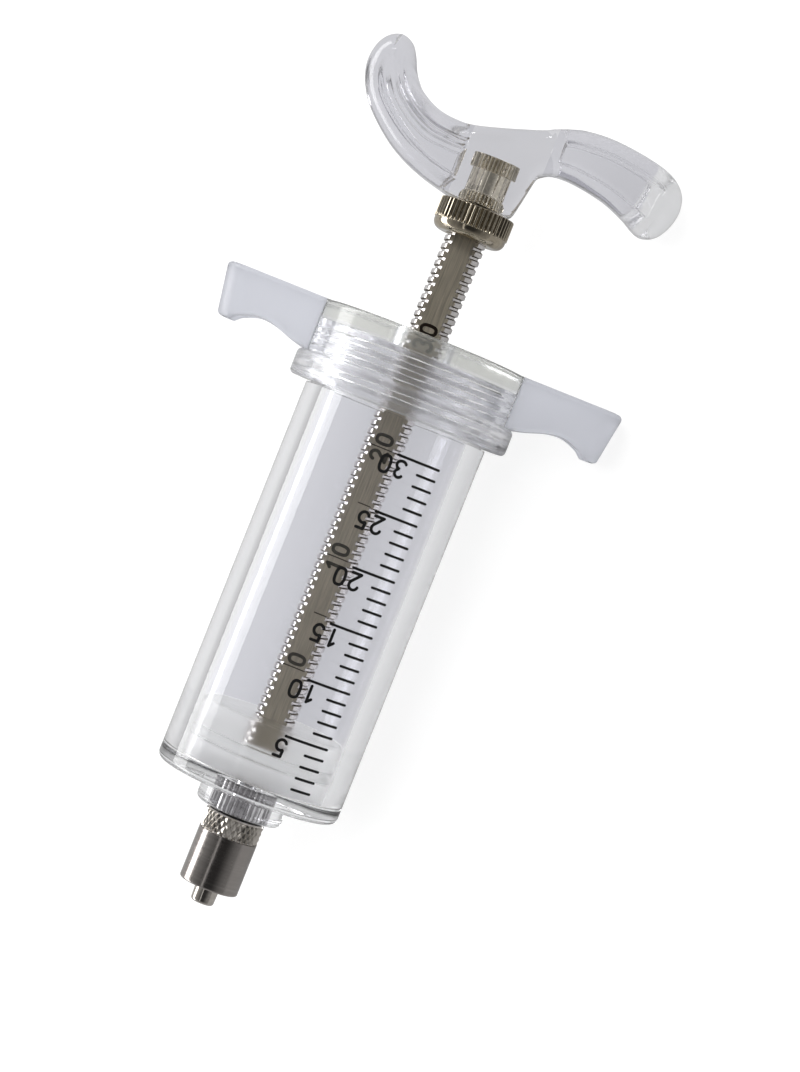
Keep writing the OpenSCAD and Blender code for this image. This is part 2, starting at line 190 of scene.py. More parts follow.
def smooth_curve(
    points: np.ndarray,
    steps: int,
    before: np.ndarray | None = None,
    after: np.ndarray | None = None,
) -> np.ndarray:
    """Smooth open curve through points.

    Between each pair of points runs a cubic, and its slope at a point is half the chord
    between that point's neighbours.

    Args:
        points: the points, in order.
        steps: steps between two points.
        before: a neighbour before the first point, for the slope there.
        after: a neighbour after the last point, for the slope there.

    Returns:
        Points of the curve, the last one included.
    """
    pts = np.asarray(points, float)
    first = pts[0] if before is None else before
    last = pts[-1] if after is None else after
    padded = np.vstack([first, pts, last])
    a, b, c, d = (padded[i:len(padded) - 3 + i, None] for i in range(4))
    t = (np.arange(steps) / steps)[None, :, None]
    square = 2 * a - 5 * b + 4 * c - d
    cube = 3 * b - a - 3 * c + d
    curve = (2 * b + (c - a) * t + square * t**2 + cube * t**3) / 2
    return np.vstack([curve.reshape(-1, pts.shape[1]), pts[-1:]])


def triangle_wave(phase: np.ndarray) -> np.ndarray:
    """Wave of period 1 that is 0 at whole phases and 1 half way between them."""
    return 1 - 2 * np.abs(phase - np.floor(phase) - 0.5)


@dataclass(frozen=True)
class Bench:
    """Turns the standing syringe over into the part's frame, rolled onto a wing tip."""

    floor_y: float
    axis_z: float
    roll: float

    @classmethod
    def from_frame(cls) -> "Bench":
        """Finds the axis and the barrel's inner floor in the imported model.

        The roll brings the rounded corner of a wing tip down to where the cap's band lies.

        Returns:
            The bench on which every piece is drawn.
        """
        piston_low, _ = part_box("piston")
        barrel_low, barrel_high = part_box("barrel")
        cap_low, cap_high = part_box("cap")
        band_r = (cap_high.z - cap_low.z) / 2 / MM
        corner_x = WING_SPAN / 2 - WING_TIP_R
        corner_y = WING_DEPTH / 2 - WING_TIP_R
        slope = math.asin((band_r - WING_TIP_R) / math.hypot(corner_x, corner_y))
        roll = slope - math.atan2(corner_y, corner_x)
        return cls(piston_low.y, (barrel_low.z + barrel_high.z) / 2, roll)

    def turn(self, vectors: np.ndarray) -> np.ndarray:
        """Standing vectors become vectors of the part's frame."""
        c, s = math.cos(self.roll), math.sin(self.roll)
        x, y, z = vectors[..., 0], vectors[..., 1], vectors[..., 2]
        return np.stack([c * x - s * y, z, -s * x - c * y], axis=-1)

    def turn_back(self, vectors: np.ndarray) -> np.ndarray:
        """Vectors of the part's frame become standing vectors."""
        c, s = math.cos(self.roll), math.sin(self.roll)
        x, y, z = vectors[..., 0], vectors[..., 1], vectors[..., 2]
        return np.stack([c * x - s * z, -s * x - c * z, y], axis=-1)

    def lay(self, points: np.ndarray) -> np.ndarray:
        """Standing points in millimetres become points of the part's frame in metres."""
        return self.turn(points) * MM + (0, self.floor_y, self.axis_z)

    def stand(self, points: np.ndarray) -> np.ndarray:
        """Points of the part's frame in metres become standing points in millimetres."""
        return self.turn_back((points - (0, self.floor_y, self.axis_z)) / MM)

    def reach(self, node: str) -> tuple[float, float]:
        """Lowest and highest standing height of a node, in millimetres."""
        low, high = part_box(node)
        return (low.y - self.floor_y) / MM, (high.y - self.floor_y) / MM

    def radius(self, node: str) -> float:
        """Half of a node's height when it lies, in millimetres: its outer radius."""
        low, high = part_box(node)
        return (high.z - low.z) / 2 / MM


class Form:
    """A mesh in the making: grids of points that are closed, welded and turned outwards."""

    def __init__(self) -> None:
        self.points: list[np.ndarray] = []
        self.faces: list[np.ndarray] = []
        self.total = 0

    def add(self, grid: np.ndarray, wrap_rows: bool = False, wrap_columns: bool = False) -> "Form":
        """Adds a grid of points with a four-sided face in each of its cells.

        Args:
            grid: points in rows and columns.
            wrap_rows: whether the last row joins the first.
            wrap_columns: whether the last column joins the first.

        Returns:
            The form itself.
        """
        rows, columns = grid.shape[:2]
        index = np.arange(rows * columns).reshape(rows, columns) + self.total
        if wrap_rows:
            index = np.vstack([index, index[:1]])
        if wrap_columns:
            index = np.hstack([index, index[:, :1]])
        cells = np.stack([index[:-1, :-1], index[:-1, 1:], index[1:, 1:], index[1:, :-1]], axis=-1)
        self.points.append(grid.reshape(-1, 3))
        self.faces.append(cells.reshape(-1, 4))
        self.total += rows * columns
        return self

    def build(
        self, name: str, bench: Bench, crease: float = 35.0, zones: Zones | None = None
    ) -> bpy.types.Object:
        """Makes the object: points welded, faces outwards, smooth but for its creases.

        Args:
            name: the object's name.
            bench: turns the points over into the part's frame.
            crease: angle in degrees past which an edge stays sharp.
            zones: gives each face its material slot by its standing centre and normal.

        Returns:
            The object, at the origin, with its place in its mesh.
        """
        points = bench.lay(np.vstack(self.points))
        mesh = bpy.data.meshes.new(name)
        mesh.from_pydata(points.tolist(), [], np.vstack(self.faces).tolist())
        work = bmesh.new()
        work.from_mesh(mesh)
        bmesh.ops.remove_doubles(work, verts=work.verts[:], dist=WELD)
        bmesh.ops.recalc_face_normals(work, faces=work.faces[:])
        work.to_mesh(mesh)
        work.free()
        mesh.shade_smooth()
        mesh.set_sharp_from_angle(angle=math.radians(crease))
        if zones is not None:
            flat = np.empty(len(mesh.polygons) * 3)
            mesh.polygons.foreach_get("center", flat)
            centres = bench.stand(flat.reshape(-1, 3))
            mesh.polygons.foreach_get("normal", flat)
            normals = bench.turn_back(flat.reshape(-1, 3))
            mesh.polygons.foreach_set("material_index", zones(centres, normals).astype(np.int32))
        piece = bpy.data.objects.new(name, mesh)
        bpy.context.scene.collection.objects.link(piece)
        return piece


def turned(
    bench: Bench,
    name: str,
    corners: Sequence[Corner],
    columns: int,
    relief: Relief | None = None,
    crease: float = 35.0,
    zones: Zones | None = None,
    rounding: tuple[int, float] = (6, 0.05),
) -> bpy.types.Object:
    """Turns a closed section round the axis into a piece.

    Args:
        bench: turns the points over into the part's frame.
        name: the piece's name.
        corners: the corners in order round the section.
        columns: how many columns of points go round.
        relief: change of radius as a function of angle, radius and height.
        crease: angle in degrees past which an edge stays sharp.
        zones: gives each face its material slot by its standing centre and normal.
        rounding: steps in each rounded corner, and the distance of its guard points.

    Returns:
        The piece.
    """
    grid = lathe(section(corners, *rounding), ring_angles(columns), relief)
    return Form().add(grid, True, True).build(name, bench, crease, zones)


# Finishes


class Board:
    """A material's or the world's node tree with short calls to add and join nodes."""

    def __init__(self, tree: bpy.types.NodeTree) -> None:
        self.tree = tree
        tree.nodes.clear()

    def add(self, kind: str, **values: object) -> bpy.types.Node:
        """Adds a node.

        Args:
            kind: the node's type.
            values: its properties, or else its input sockets, by name.

        Returns:
            The node.
        """
        node = self.tree.nodes.new(kind)
        for key, value in values.items():
            if hasattr(node, key):
                setattr(node, key, value)
            else:
                node.inputs[key.replace("_", " ")].default_value = value
        return node

    def join(self, source: bpy.types.NodeSocket, target: bpy.types.NodeSocket) -> None:
        """Joins an output socket to an input socket."""
        self.tree.links.new(source, target)

    def object_noise(self, scale: Sequence[float], detail: float = 3.0) -> bpy.types.NodeSocket:
        """Noise on the object's own coordinates.

        Args:
            scale: cells to a metre along X, Y and Z.
            detail: octaves of the noise.

        Returns:
            The noise's output socket, from 0 to 1.
        """
        place = self.add("ShaderNodeTexCoord")
        mapping = self.add("ShaderNodeMapping")
        mapping.inputs["Scale"].default_value = tuple(scale)
        noise = self.add("ShaderNodeTexNoise", Scale=1.0, Detail=detail, Roughness=0.6)
        self.join(place.outputs["Object"], mapping.inputs["Vector"])
        self.join(mapping.outputs["Vector"], noise.inputs["Vector"])
        return noise.outputs["Fac"]

    def mapped(
        self,
        source: bpy.types.NodeSocket,
        came: tuple[float, float],
        goes: tuple[float, float],
        kind: str = "LINEAR",
    ) -> bpy.types.NodeSocket:
        """Maps a value from one span to another and holds it there.

        Args:
            source: the value's socket.
            came: the ends of the span that it comes from.
            goes: the ends of the span that it goes to.
            kind: how it runs between them.

        Returns:
            The socket of the mapped value.
        """
        node = self.add("ShaderNodeMapRange", interpolation_type=kind)
        names = ("From Min", "From Max", "To Min", "To Max")
        for name, value in zip(names, (*came, *goes)):
            node.inputs[name].default_value = value
        self.join(source, node.inputs["Value"])
        return node.outputs["Result"]

    def ramp(
        self, source: bpy.types.NodeSocket, stops: Sequence[tuple[float, Sequence[float]]]
    ) -> bpy.types.NodeSocket:
        """Turns a value into a colour.

        Args:
            source: the value's socket.
            stops: pairs of a value and its colour, from low to high.

        Returns:
            The socket of the colour.
        """
        node = self.add("ShaderNodeValToRGB")
        elements = node.color_ramp.elements
        for position, colour in stops[1:-1]:
            elements.new(position).color = (*colour, 1)
        for element, (position, colour) in zip((elements[0], elements[-1]), (stops[0], stops[-1])):
            element.position = position
            element.color = (*colour, 1)
        self.join(source, node.inputs["Fac"])
        return node.outputs["Color"]

    def mixed(
        self,
        share: bpy.types.NodeSocket,
        first: bpy.types.NodeSocket,
        second: bpy.types.NodeSocket,
    ) -> bpy.types.NodeSocket:
        """Mixes two shaders.

        Args:
            share: the socket of the second shader's share.
            first: the first shader's socket.
            second: the second shader's socket.

        Returns:
            The mixed shader's socket.
        """
        node = self.add("ShaderNodeMixShader")
        for source, target in zip((share, first, second), node.inputs):
            self.join(source, target)
        return node.outputs[0]

    def bump(self, height: bpy.types.NodeSocket, depth: float, target: bpy.types.Node) -> None:
        """Puts a bump on a shader's normal.

        Args:
            height: the socket of the height, from 0 to 1.
            depth: depth of the bump in metres.
            target: the shader.
        """
        node = self.add("ShaderNodeBump", Strength=1.0, Distance=depth)
        self.join(height, node.inputs["Height"])
        self.join(node.outputs["Normal"], target.inputs["Normal"])


def principled(name: str) -> tuple[bpy.types.Material, Board, bpy.types.Node]:
    """Makes a material with one Principled shader on its output.

    Args:
        name: the material's name.

    Returns:
        The material, its board and its shader.
    """
    material = bpy.data.materials.new(name)
    material.use_nodes = True
    board = Board(material.node_tree)
    shader = board.add("ShaderNodeBsdfPrincipled")
    output = board.add("ShaderNodeOutputMaterial")
    board.join(shader.outputs["BSDF"], output.inputs["Surface"])
    return material, board, shader


# The middle of a noise's values, where nearly all of them lie
NOISE_SPAN = (0.3, 0.7)
# Cells of noise to a metre: wear on plastic, streaks round a thread, grain of rubber and ink
WEAR_CELLS = (400.0, 400.0, 400.0)
STREAK_CELLS = (25.0, 1100.0, 25.0)
GRAIN_CELLS = (2500.0, 2500.0, 2500.0)


@dataclass(frozen=True)
class ClearPlastic:
    """Moulded acrylic: tinted, refracting, with faint flow ripples and fine wear.

    A weight under 1 leaves a milky share of plain body colour, and a streaked plastic has
    its ripples drawn out across the axis, as they run round a thread.
    """

    name: str
    tint: tuple[float, float, float]
    roughness: tuple[float, float] = (0.0, 0.04)
    ripple: float = 0.012
    ripple_size: float = 6.0
    weight: float = 1.0
    ior: float = 1.49
    streaked: bool = False

    def material(self) -> bpy.types.Material:
        """Builds the plastic's material."""
        material, board, shader = principled(self.name)
        shader.inputs["Base Color"].default_value = (*self.tint, 1)
        shader.inputs["Transmission Weight"].default_value = self.weight
        shader.inputs["IOR"].default_value = self.ior
        wear = board.object_noise(WEAR_CELLS, 4)
        rough = board.mapped(wear, NOISE_SPAN, self.roughness)
        board.join(rough, shader.inputs["Roughness"])
        cells = STREAK_CELLS if self.streaked else [1 / (self.ripple_size * MM)] * 3
        board.bump(board.object_noise(cells, 2), self.ripple * MM, shader)
        return material


class Grain(Enum):
    """Direction in which a metal is finished, as cells of its grain to a metre."""

    ALONG = (5200.0, 190.0, 5200.0)
    ROUND = (60.0, 5200.0, 60.0)
    FINE = (1500.0, 1500.0, 1500.0)


@dataclass(frozen=True)
class Metal:
    """Nickel or steel with its working grain in colour, roughness and bump."""

    name: str
    colour: tuple[float, float, float]
    roughness: tuple[float, float]
    grain: Grain
    variation: float = 0.2
    relief: float = 0.003

    def material(self) -> bpy.types.Material:
        """Builds the metal's material."""
        material, board, shader = principled(self.name)
        shader.inputs["Metallic"].default_value = 1.0
        grain = board.object_noise(self.grain.value, 4)
        rough = board.mapped(grain, NOISE_SPAN, self.roughness)
        board.join(rough, shader.inputs["Roughness"])
        shares = (1 - self.variation, 1 + self.variation / 2)
        colours = [[min(c * share, 1.0) for c in self.colour] for share in shares]
        board.join(board.ramp(grain, list(zip(NOISE_SPAN, colours))), shader.inputs["Base Color"])
        board.bump(grain, self.relief * MM, shader)
        return material


@dataclass(frozen=True)
class Opaque:
    """Rubber or ink: a plain body colour with a fine uneven surface."""

    name: str
    colour: tuple[float, float, float]
    roughness: tuple[float, float]
    gloss: float = 0.4
    shares: tuple[float, float] = (0.8, 1.3)
    relief: float = 0.004

    def material(self) -> bpy.types.Material:
        """Builds the material."""
        material, board, shader = principled(self.name)
        shader.inputs["Specular IOR Level"].default_value = self.gloss
        grain = board.object_noise(GRAIN_CELLS, 3)
        rough = board.mapped(grain, NOISE_SPAN, self.roughness)
        board.join(rough, shader.inputs["Roughness"])
        colours = [[min(c * share, 1.0) for c in self.colour] for share in self.shares]
        board.join(board.ramp(grain, list(zip((0.0, 1.0), colours))), shader.inputs["Base Color"])
        board.bump(grain, self.relief * MM, shader)
        return material


class Finish(Enum):
    """Every finish of the syringe."""

    BARREL = ClearPlastic("clear_barrel_acrylic", (0.955, 0.96, 0.975))
    BORE = ClearPlastic("clear_bore_acrylic", (0.92, 0.92, 0.945))
    # The bore's far half: a darker copy of the bore's acrylic, painted shade seen through the
    # barrel
    FAR_BORE = ClearPlastic("bore_acrylic_painted_shade", (0.66, 0.66, 0.715))
    SATIN = ClearPlastic("satin_neck_acrylic", (0.99, 0.99, 1.0), (0.08, 0.18), streaked=True)
    FOGGED = ClearPlastic("fogged_end_acrylic", (0.99, 0.99, 0.98), (0.35, 0.5), 0.004)
    SEAT = ClearPlastic("satin_seat_acrylic", (0.97, 0.97, 0.985), (0.1, 0.2), 0.006)
    CAP = ClearPlastic("clear_cap_acrylic", (0.97, 0.975, 1.0), (0.05, 0.12), weight=0.94)
    CAP_TOP = ClearPlastic("clear_cap_top_acrylic", (0.80, 0.81, 0.78), (0.1, 0.18), weight=0.88)
    THREADED = ClearPlastic("threaded_cap_acrylic", (0.99, 0.99, 1.0), (0.06, 0.14), streaked=True)
    BAND = ClearPlastic("cap_band_acrylic", (0.97, 0.975, 1.0), (0.12, 0.2), 0.006, weight=0.93)
    WING = ClearPlastic("frosted_wing_acrylic", (0.80, 0.815, 0.883), (0.35, 0.5))
    HUB = ClearPlastic("clear_hub_acrylic", (0.95, 0.95, 0.965), (0.0, 0.03), 0.006)
    # The hub's far side: a darker copy of the hub's acrylic, painted shade seen through the handle
    FAR_HUB = ClearPlastic("hub_acrylic_painted_shade", (0.57, 0.57, 0.62), (0.0, 0.03), 0.006)
    ARM = ClearPlastic("satin_arm_acrylic", (0.73, 0.73, 0.775), (0.09, 0.18), 0.02)
    TIP = ClearPlastic("clear_tip_acrylic", (0.885, 0.89, 0.905), (0.09, 0.18), 0.02)
    PISTON = ClearPlastic("milky_piston_plastic", (0.955, 0.955, 0.95), (0.35, 0.5), ior=1.12)
    RING = ClearPlastic("clear_silicone_ring", (0.97, 0.975, 0.97), (0.3, 0.5), ior=1.1)
    RUBBER = Opaque("black_ring_rubber", (0.012, 0.012, 0.013), (0.35, 0.55))
    INK = Opaque("black_scale_ink", (0.006, 0.006, 0.006), (0.4, 0.6))
    ENGRAVING = Opaque("engraved_scale_paint", (0.008, 0.005, 0.003), (0.5, 0.8), 0.1)
    WORN_PAINT = Opaque("lighter_scale_paint", (0.075, 0.068, 0.055), (0.5, 0.8), 0.1)
    FLAT = Metal("brushed_flat_nickel", (0.59, 0.53, 0.43), (0.42, 0.6), Grain.ALONG, 0.32)
    # The thread's flanks: a dark copy of the plating, painted shade in the grooves
    FLANK = Metal("flank_nickel_painted_shade", (0.16, 0.13, 0.09), (0.3, 0.45), Grain.FINE)
    THREAD = Metal("plated_thread_nickel", (0.80, 0.77, 0.76), (0.16, 0.26), Grain.FINE, 0.1)
    NUT = Metal("knurled_nut_nickel", (0.52, 0.46, 0.36), (0.06, 0.14), Grain.FINE)
    INSERT = Metal("insert_nickel", (0.57, 0.53, 0.45), (0.02, 0.08), Grain.FINE)
    BUSH = Metal("bush_nickel", (0.66, 0.65, 0.66), (0.06, 0.14), Grain.FINE)
    COLLAR = Metal("knurled_collar_nickel", (0.64, 0.60, 0.55), (0.05, 0.12), Grain.FINE)
    SLEEVE = Metal("turned_sleeve_steel", (0.42, 0.39, 0.37), (0.14, 0.24), Grain.ROUND, 0.12)

    def material(self) -> bpy.types.Material:
        """The finish's material, made the first time that it is asked for."""
        made = bpy.data.materials.get(self.value.name)
        return made or self.value.material()


def fit(
    piece: bpy.types.Object,
    finish: Finish | Sequence[Finish],
    body: str,
    replaces: Sequence[str] = (),
) -> bpy.types.Object:
    """Dresses a piece, sets it on its body and reports it.

    Args:
        piece: the finished object.
        finish: its finish, or one for each of its zones.
        body: the body that it moves with.
        replaces: the CAD nodes that it stands for.

    Returns:
        The piece.
    """
    for each in [finish] if isinstance(finish, Finish) else finish:
        piece.data.materials.append(each.material())
    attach(piece, body)
    if replaces:
        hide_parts(*replaces)
    LOG.info("%s: %d faces on %s", piece.name, len(piece.data.polygons), body)
    return piece


# Threads and knurls


@dataclass(frozen=True)
class PlasticThread:
    """Coarse moulded thread that holds the cap on the barrel's neck."""

    low: float
    high: float
    pitch: float = 2.0
    depth: float = 0.3
    steepness: float = 1.1
    fade: float = 1.0

    def ridge(self, theta: np.ndarray, z: np.ndarray) -> np.ndarray:
        """Raises the ridge: a cosine along the helix, steepened to a rounded trapezoid and
        faded out at both ends.

        Args:
            theta: angles round the axis.
            z: heights.

        Returns:
            Height of the ridge over the wall.
        """
        wave = smoothstep(0.5 + self.steepness * np.cos(TURN * (z / self.pitch - theta / TURN)))
        return self.depth * wave * faded(z, self.low, self.high, self.fade)


@dataclass(frozen=True)
class ScrewRod:
    """Rod with a single-start thread: one turn's profile carried along its helix.

    Each column of the grid follows the helix, so the edges of the crest stay sharp. Flats
    cut the radius back to flat / |sin(angle)|.
    """

    crest_r: float
    root_r: float
    pitch: float
    low: float
    high: float
    crest_share: float = 0.53
    flank: float = 0.18
    chamfer: float = 0.06
    flat: float | None = None
    flat_turn: float = 0.0
    columns: int = 72
    flat_columns: int = 6

    def angles(self) -> np.ndarray:
        """Angles round one turn, closer together where the flats cut the thread."""
        even = ring_angles(self.columns)
        if self.flat is None:
            return even
        edges = [math.asin(self.flat / self.crest_r), math.asin(self.flat / self.root_r)]
        spread = np.linspace(edges[0], edges[1], self.flat_columns)
        corners = np.concatenate([spread, math.pi - spread, math.pi + spread, TURN - spread])
        return np.sort(np.mod(np.concatenate([even, corners - self.flat_turn]), TURN))

    def radius(self, theta: np.ndarray, r: np.ndarray) -> np.ndarray:
        """Holds a radius to the flats.

        Args:
            theta: angles round the axis.
            r: the thread's radius at each.

        Returns:
            The radius, cut back where a flat is.
        """
        if self.flat is None:
            return r
        side = np.maximum(np.abs(np.sin(theta + self.flat_turn)), 1e-6)
        return np.minimum(r, self.flat / side)

    def form(self) -> Form:
        """The thread's ribbon with the disc at each end."""
        top = self.crest_share * self.pitch / 2
        half = np.array([0, top - self.chamfer, top, top + self.flank])
        radii = np.array([self.crest_r, self.crest_r, self.crest_r - self.chamfer, self.root_r])
        middle = self.pitch / 2
        offset = np.concatenate([[0], middle - half[::-1], middle + half[1:], [self.pitch]])
        profile = np.concatenate([[self.root_r], radii[::-1], radii[1:], [self.root_r]])
        turns = int(math.ceil((self.high - self.low) / self.pitch)) + 2
        angles = self.angles()
        theta = (np.arange(turns)[:, None] * TURN + angles[None]).reshape(-1)
        theta = np.append(theta, turns * TURN + angles[0])[:, None]
        z = self.low - self.pitch + self.pitch * theta / TURN + offset[None]
        r = self.radius(theta, np.broadcast_to(profile, z.shape))
        z = np.clip(z, self.low, self.high)
        form = Form().add(np.stack([r * np.cos(theta), r * np.sin(theta), z], axis=-1))
        edge = self.radius(angles, np.full_like(angles, self.root_r))
        for height in (self.low, self.high):
            level = np.full_like(angles, height)
            rim = np.stack([edge * np.cos(angles), edge * np.sin(angles), level], -1)
            form.add(np.stack([rim, rim * (0, 0, 1)]))
        return form


@dataclass(frozen=True)
class Knurl:
    """Ridges and grooves on the outer wall of a turned piece."""

    count: int
    depth: float
    low: float
    high: float
    outer_r: float
    run_out: float = 0.25

    def ridges(self, theta: np.ndarray, z: np.ndarray) -> np.ndarray:
        """Height of the pattern at angles and heights: 0 in a groove and 1 on a ridge."""
        raise NotImplementedError

    def relief(self, theta: np.ndarray, r: np.ndarray, z: np.ndarray) -> np.ndarray:
        """Cuts the grooves into the outer wall.

        Args:
            theta: angles round the axis.
            r: radii.
            z: heights.

        Returns:
            Change of radius, which runs out at both ends.
        """
        ridges = self.ridges(theta, z)
        ends = np.clip(np.minimum(z - self.low, self.high - z) / self.run_out, 0, 1)
        return np.where(r > self.outer_r - NEAR / 2, -self.depth * (1 - ridges) * ends, 0)


@dataclass(frozen=True)
class StraightKnurl(Knurl):
    """Knurl whose flat-topped ridges run along the axis, with V grooves between them."""

    flat_share: float = 0.35

    def ridges(self, theta: np.ndarray, z: np.ndarray) -> np.ndarray:
        """Height of the ridges, the same at every height."""
        wave = triangle_wave(theta * self.count / TURN)
        return np.clip(wave / (1 - self.flat_share), 0, 1)


@dataclass(frozen=True)
class DiamondKnurl(Knurl):
    """Knurl of two crossed sets of V grooves, which leaves small pyramids."""

    run_out: float = 0.12
    height: float = 1.9
    steepness: float = 1.05

    def ridges(self, theta: np.ndarray, z: np.ndarray) -> np.ndarray:
        """Height of the pyramids: the lower of two waves, one climbing each way."""
        round_phase = theta * self.count / TURN
        climb = (z - self.low) / self.height
        left, right = triangle_wave(round_phase + climb), triangle_wave(round_phase - climb)
        return np.clip(np.minimum(left, right) * self.steepness, 0, 1)


# Printed and engraved figures


class Figures:
    """Plain numerals drawn by a round pen, in a box of height 1."""

    width = 0.64
    advance = 0.80
    squareness = 0.72
    arc_points = 22

    @classmethod
    def arc(
        cls, centre: tuple[float, float], radii: tuple[float, float], start: float, end: float
    ) -> np.ndarray:
        """Points along an ellipse.

        Args:
            centre: its centre.
            radii: its half width and half height.
            start: first angle in degrees.
            end: last angle in degrees.

        Returns:
            The points, one to a row.
        """
        a = np.radians(np.linspace(start, end, cls.arc_points))
        return np.stack([centre[0] + radii[0] * np.cos(a), centre[1] + radii[1] * np.sin(a)], -1)

    @staticmethod
    def line(*points: tuple[float, float]) -> np.ndarray:
        """Straight strokes through points."""
        return np.array(points, float)

    @classmethod
    def strokes(cls, digit: str) -> list[np.ndarray]:
        """The pen's strokes for a digit.

        Args:
            digit: the digit, one of those on the scales.

        Returns:
            The path of each stroke. The 0 is an ellipse with a power under 1 of its
            coordinates, which squares it a little.
        """
        base, top = 0.07, 0.93
        if digit == "0":
            ring = cls.arc((0, 0), (1, 1), 0, 360)
            squared = np.sign(ring) * np.abs(ring) ** cls.squareness
            return [(0.32, 0.5) + squared * (0.25, 0.43)]
        if digit == "1":
            return [cls.line((0.36, base), (0.36, top)), cls.line((0.36, top), (0.16, 0.74))]
        if digit == "2":
            bow = cls.arc((0.32, 0.68), (0.24, 0.25), 165, -38)
            return [np.vstack([bow, [(0.09, base)]]), cls.line((0.09, base), (0.58, base))]
        if digit == "3":
            upper = cls.arc((0.30, 0.715), (0.21, 0.215), 150, -90)
            lower = cls.arc((0.30, 0.285), (0.25, 0.215), 90, -150)
            return [np.vstack([upper, lower[1:]])]
        if digit == "5":
            bowl = cls.arc((0.30, 0.35), (0.25, 0.28), 128, -150)
            return [cls.line((0.53, top), (0.16, top)), np.vstack([[(0.16, top)], bowl])]
        raise ValueError(f"no strokes for {digit!r}")


def resample(path: np.ndarray, step: float) -> np.ndarray:
    """Points at even distances along a path.

    Args:
        path: the path's points.
        step: the greatest distance between two points, along a path of four steps or more.

    Returns:
        The points, the path's first and last among them.
    """
    length = np.concatenate([[0], np.cumsum(np.linalg.norm(np.diff(path, axis=0), axis=1))])
    places = np.linspace(0, length[-1], max(int(length[-1] / step), 4) + 1)
    return np.stack([np.interp(places, length, path[:, i]) for i in range(2)], -1)


def pen_stroke(path: np.ndarray, width: float, height: float) -> np.ndarray:
    """Raised stroke of a round pen along a flat path.

    A rectangle is carried along the path. Its half width narrows as the root of
    w² - (w - s)² over the last half width s at an open end, which rounds that end.

    Args:
        path: points (across, along).
        width: the pen's width.
        height: thickness of the stroke.

    Returns:
        Grid (points, 4) of across, along and height, to be closed round its columns.
    """
    half = width / 2
    closed = np.linalg.norm(path[0] - path[-1]) < 1e-6
    pts = resample(path, half / 3)
    run = np.gradient(pts, axis=0)
    if closed:
        run[0] = run[-1] = pts[1] - pts[-2]
    run /= np.linalg.norm(run, axis=1, keepdims=True)
    side = np.stack([-run[:, 1], run[:, 0]], -1)
    reach = np.full(len(pts), half)
    if not closed:
        steps = 5
        ends = (half - half * np.cos(np.linspace(0, math.pi / 2, steps + 1)))[:-1]
        length = np.concatenate([[0], np.cumsum(np.linalg.norm(np.diff(pts, axis=0), axis=1))])
        inner = np.linspace(0, length[-1], len(pts))
        centre = np.stack([np.interp(inner, length, pts[:, i]) for i in range(2)], -1)
        lead = centre[:1] - run[:1] * (half - ends[:, None])
        tail = centre[-1:] + run[-1:] * (half - ends[:, None])[::-1]
        pts = np.vstack([lead, centre, tail])
        side = np.vstack([np.repeat(side[:1], steps, 0), side, np.repeat(side[-1:], steps, 0)])
        taper = np.sqrt(np.maximum(half**2 - (half - ends) ** 2, 0))
        reach = np.concatenate([taper, np.full(len(centre), half), taper[::-1]])
    left, right = pts + side * reach[:, None], pts - side * reach[:, None]
    low, high = np.zeros((len(pts), 1)), np.full((len(pts), 1), height)
    corners = [(left, low), (left, high), (right, high), (right, low)]
    return np.stack([np.hstack([p, h]) for p, h in corners], axis=1)


# The pieces


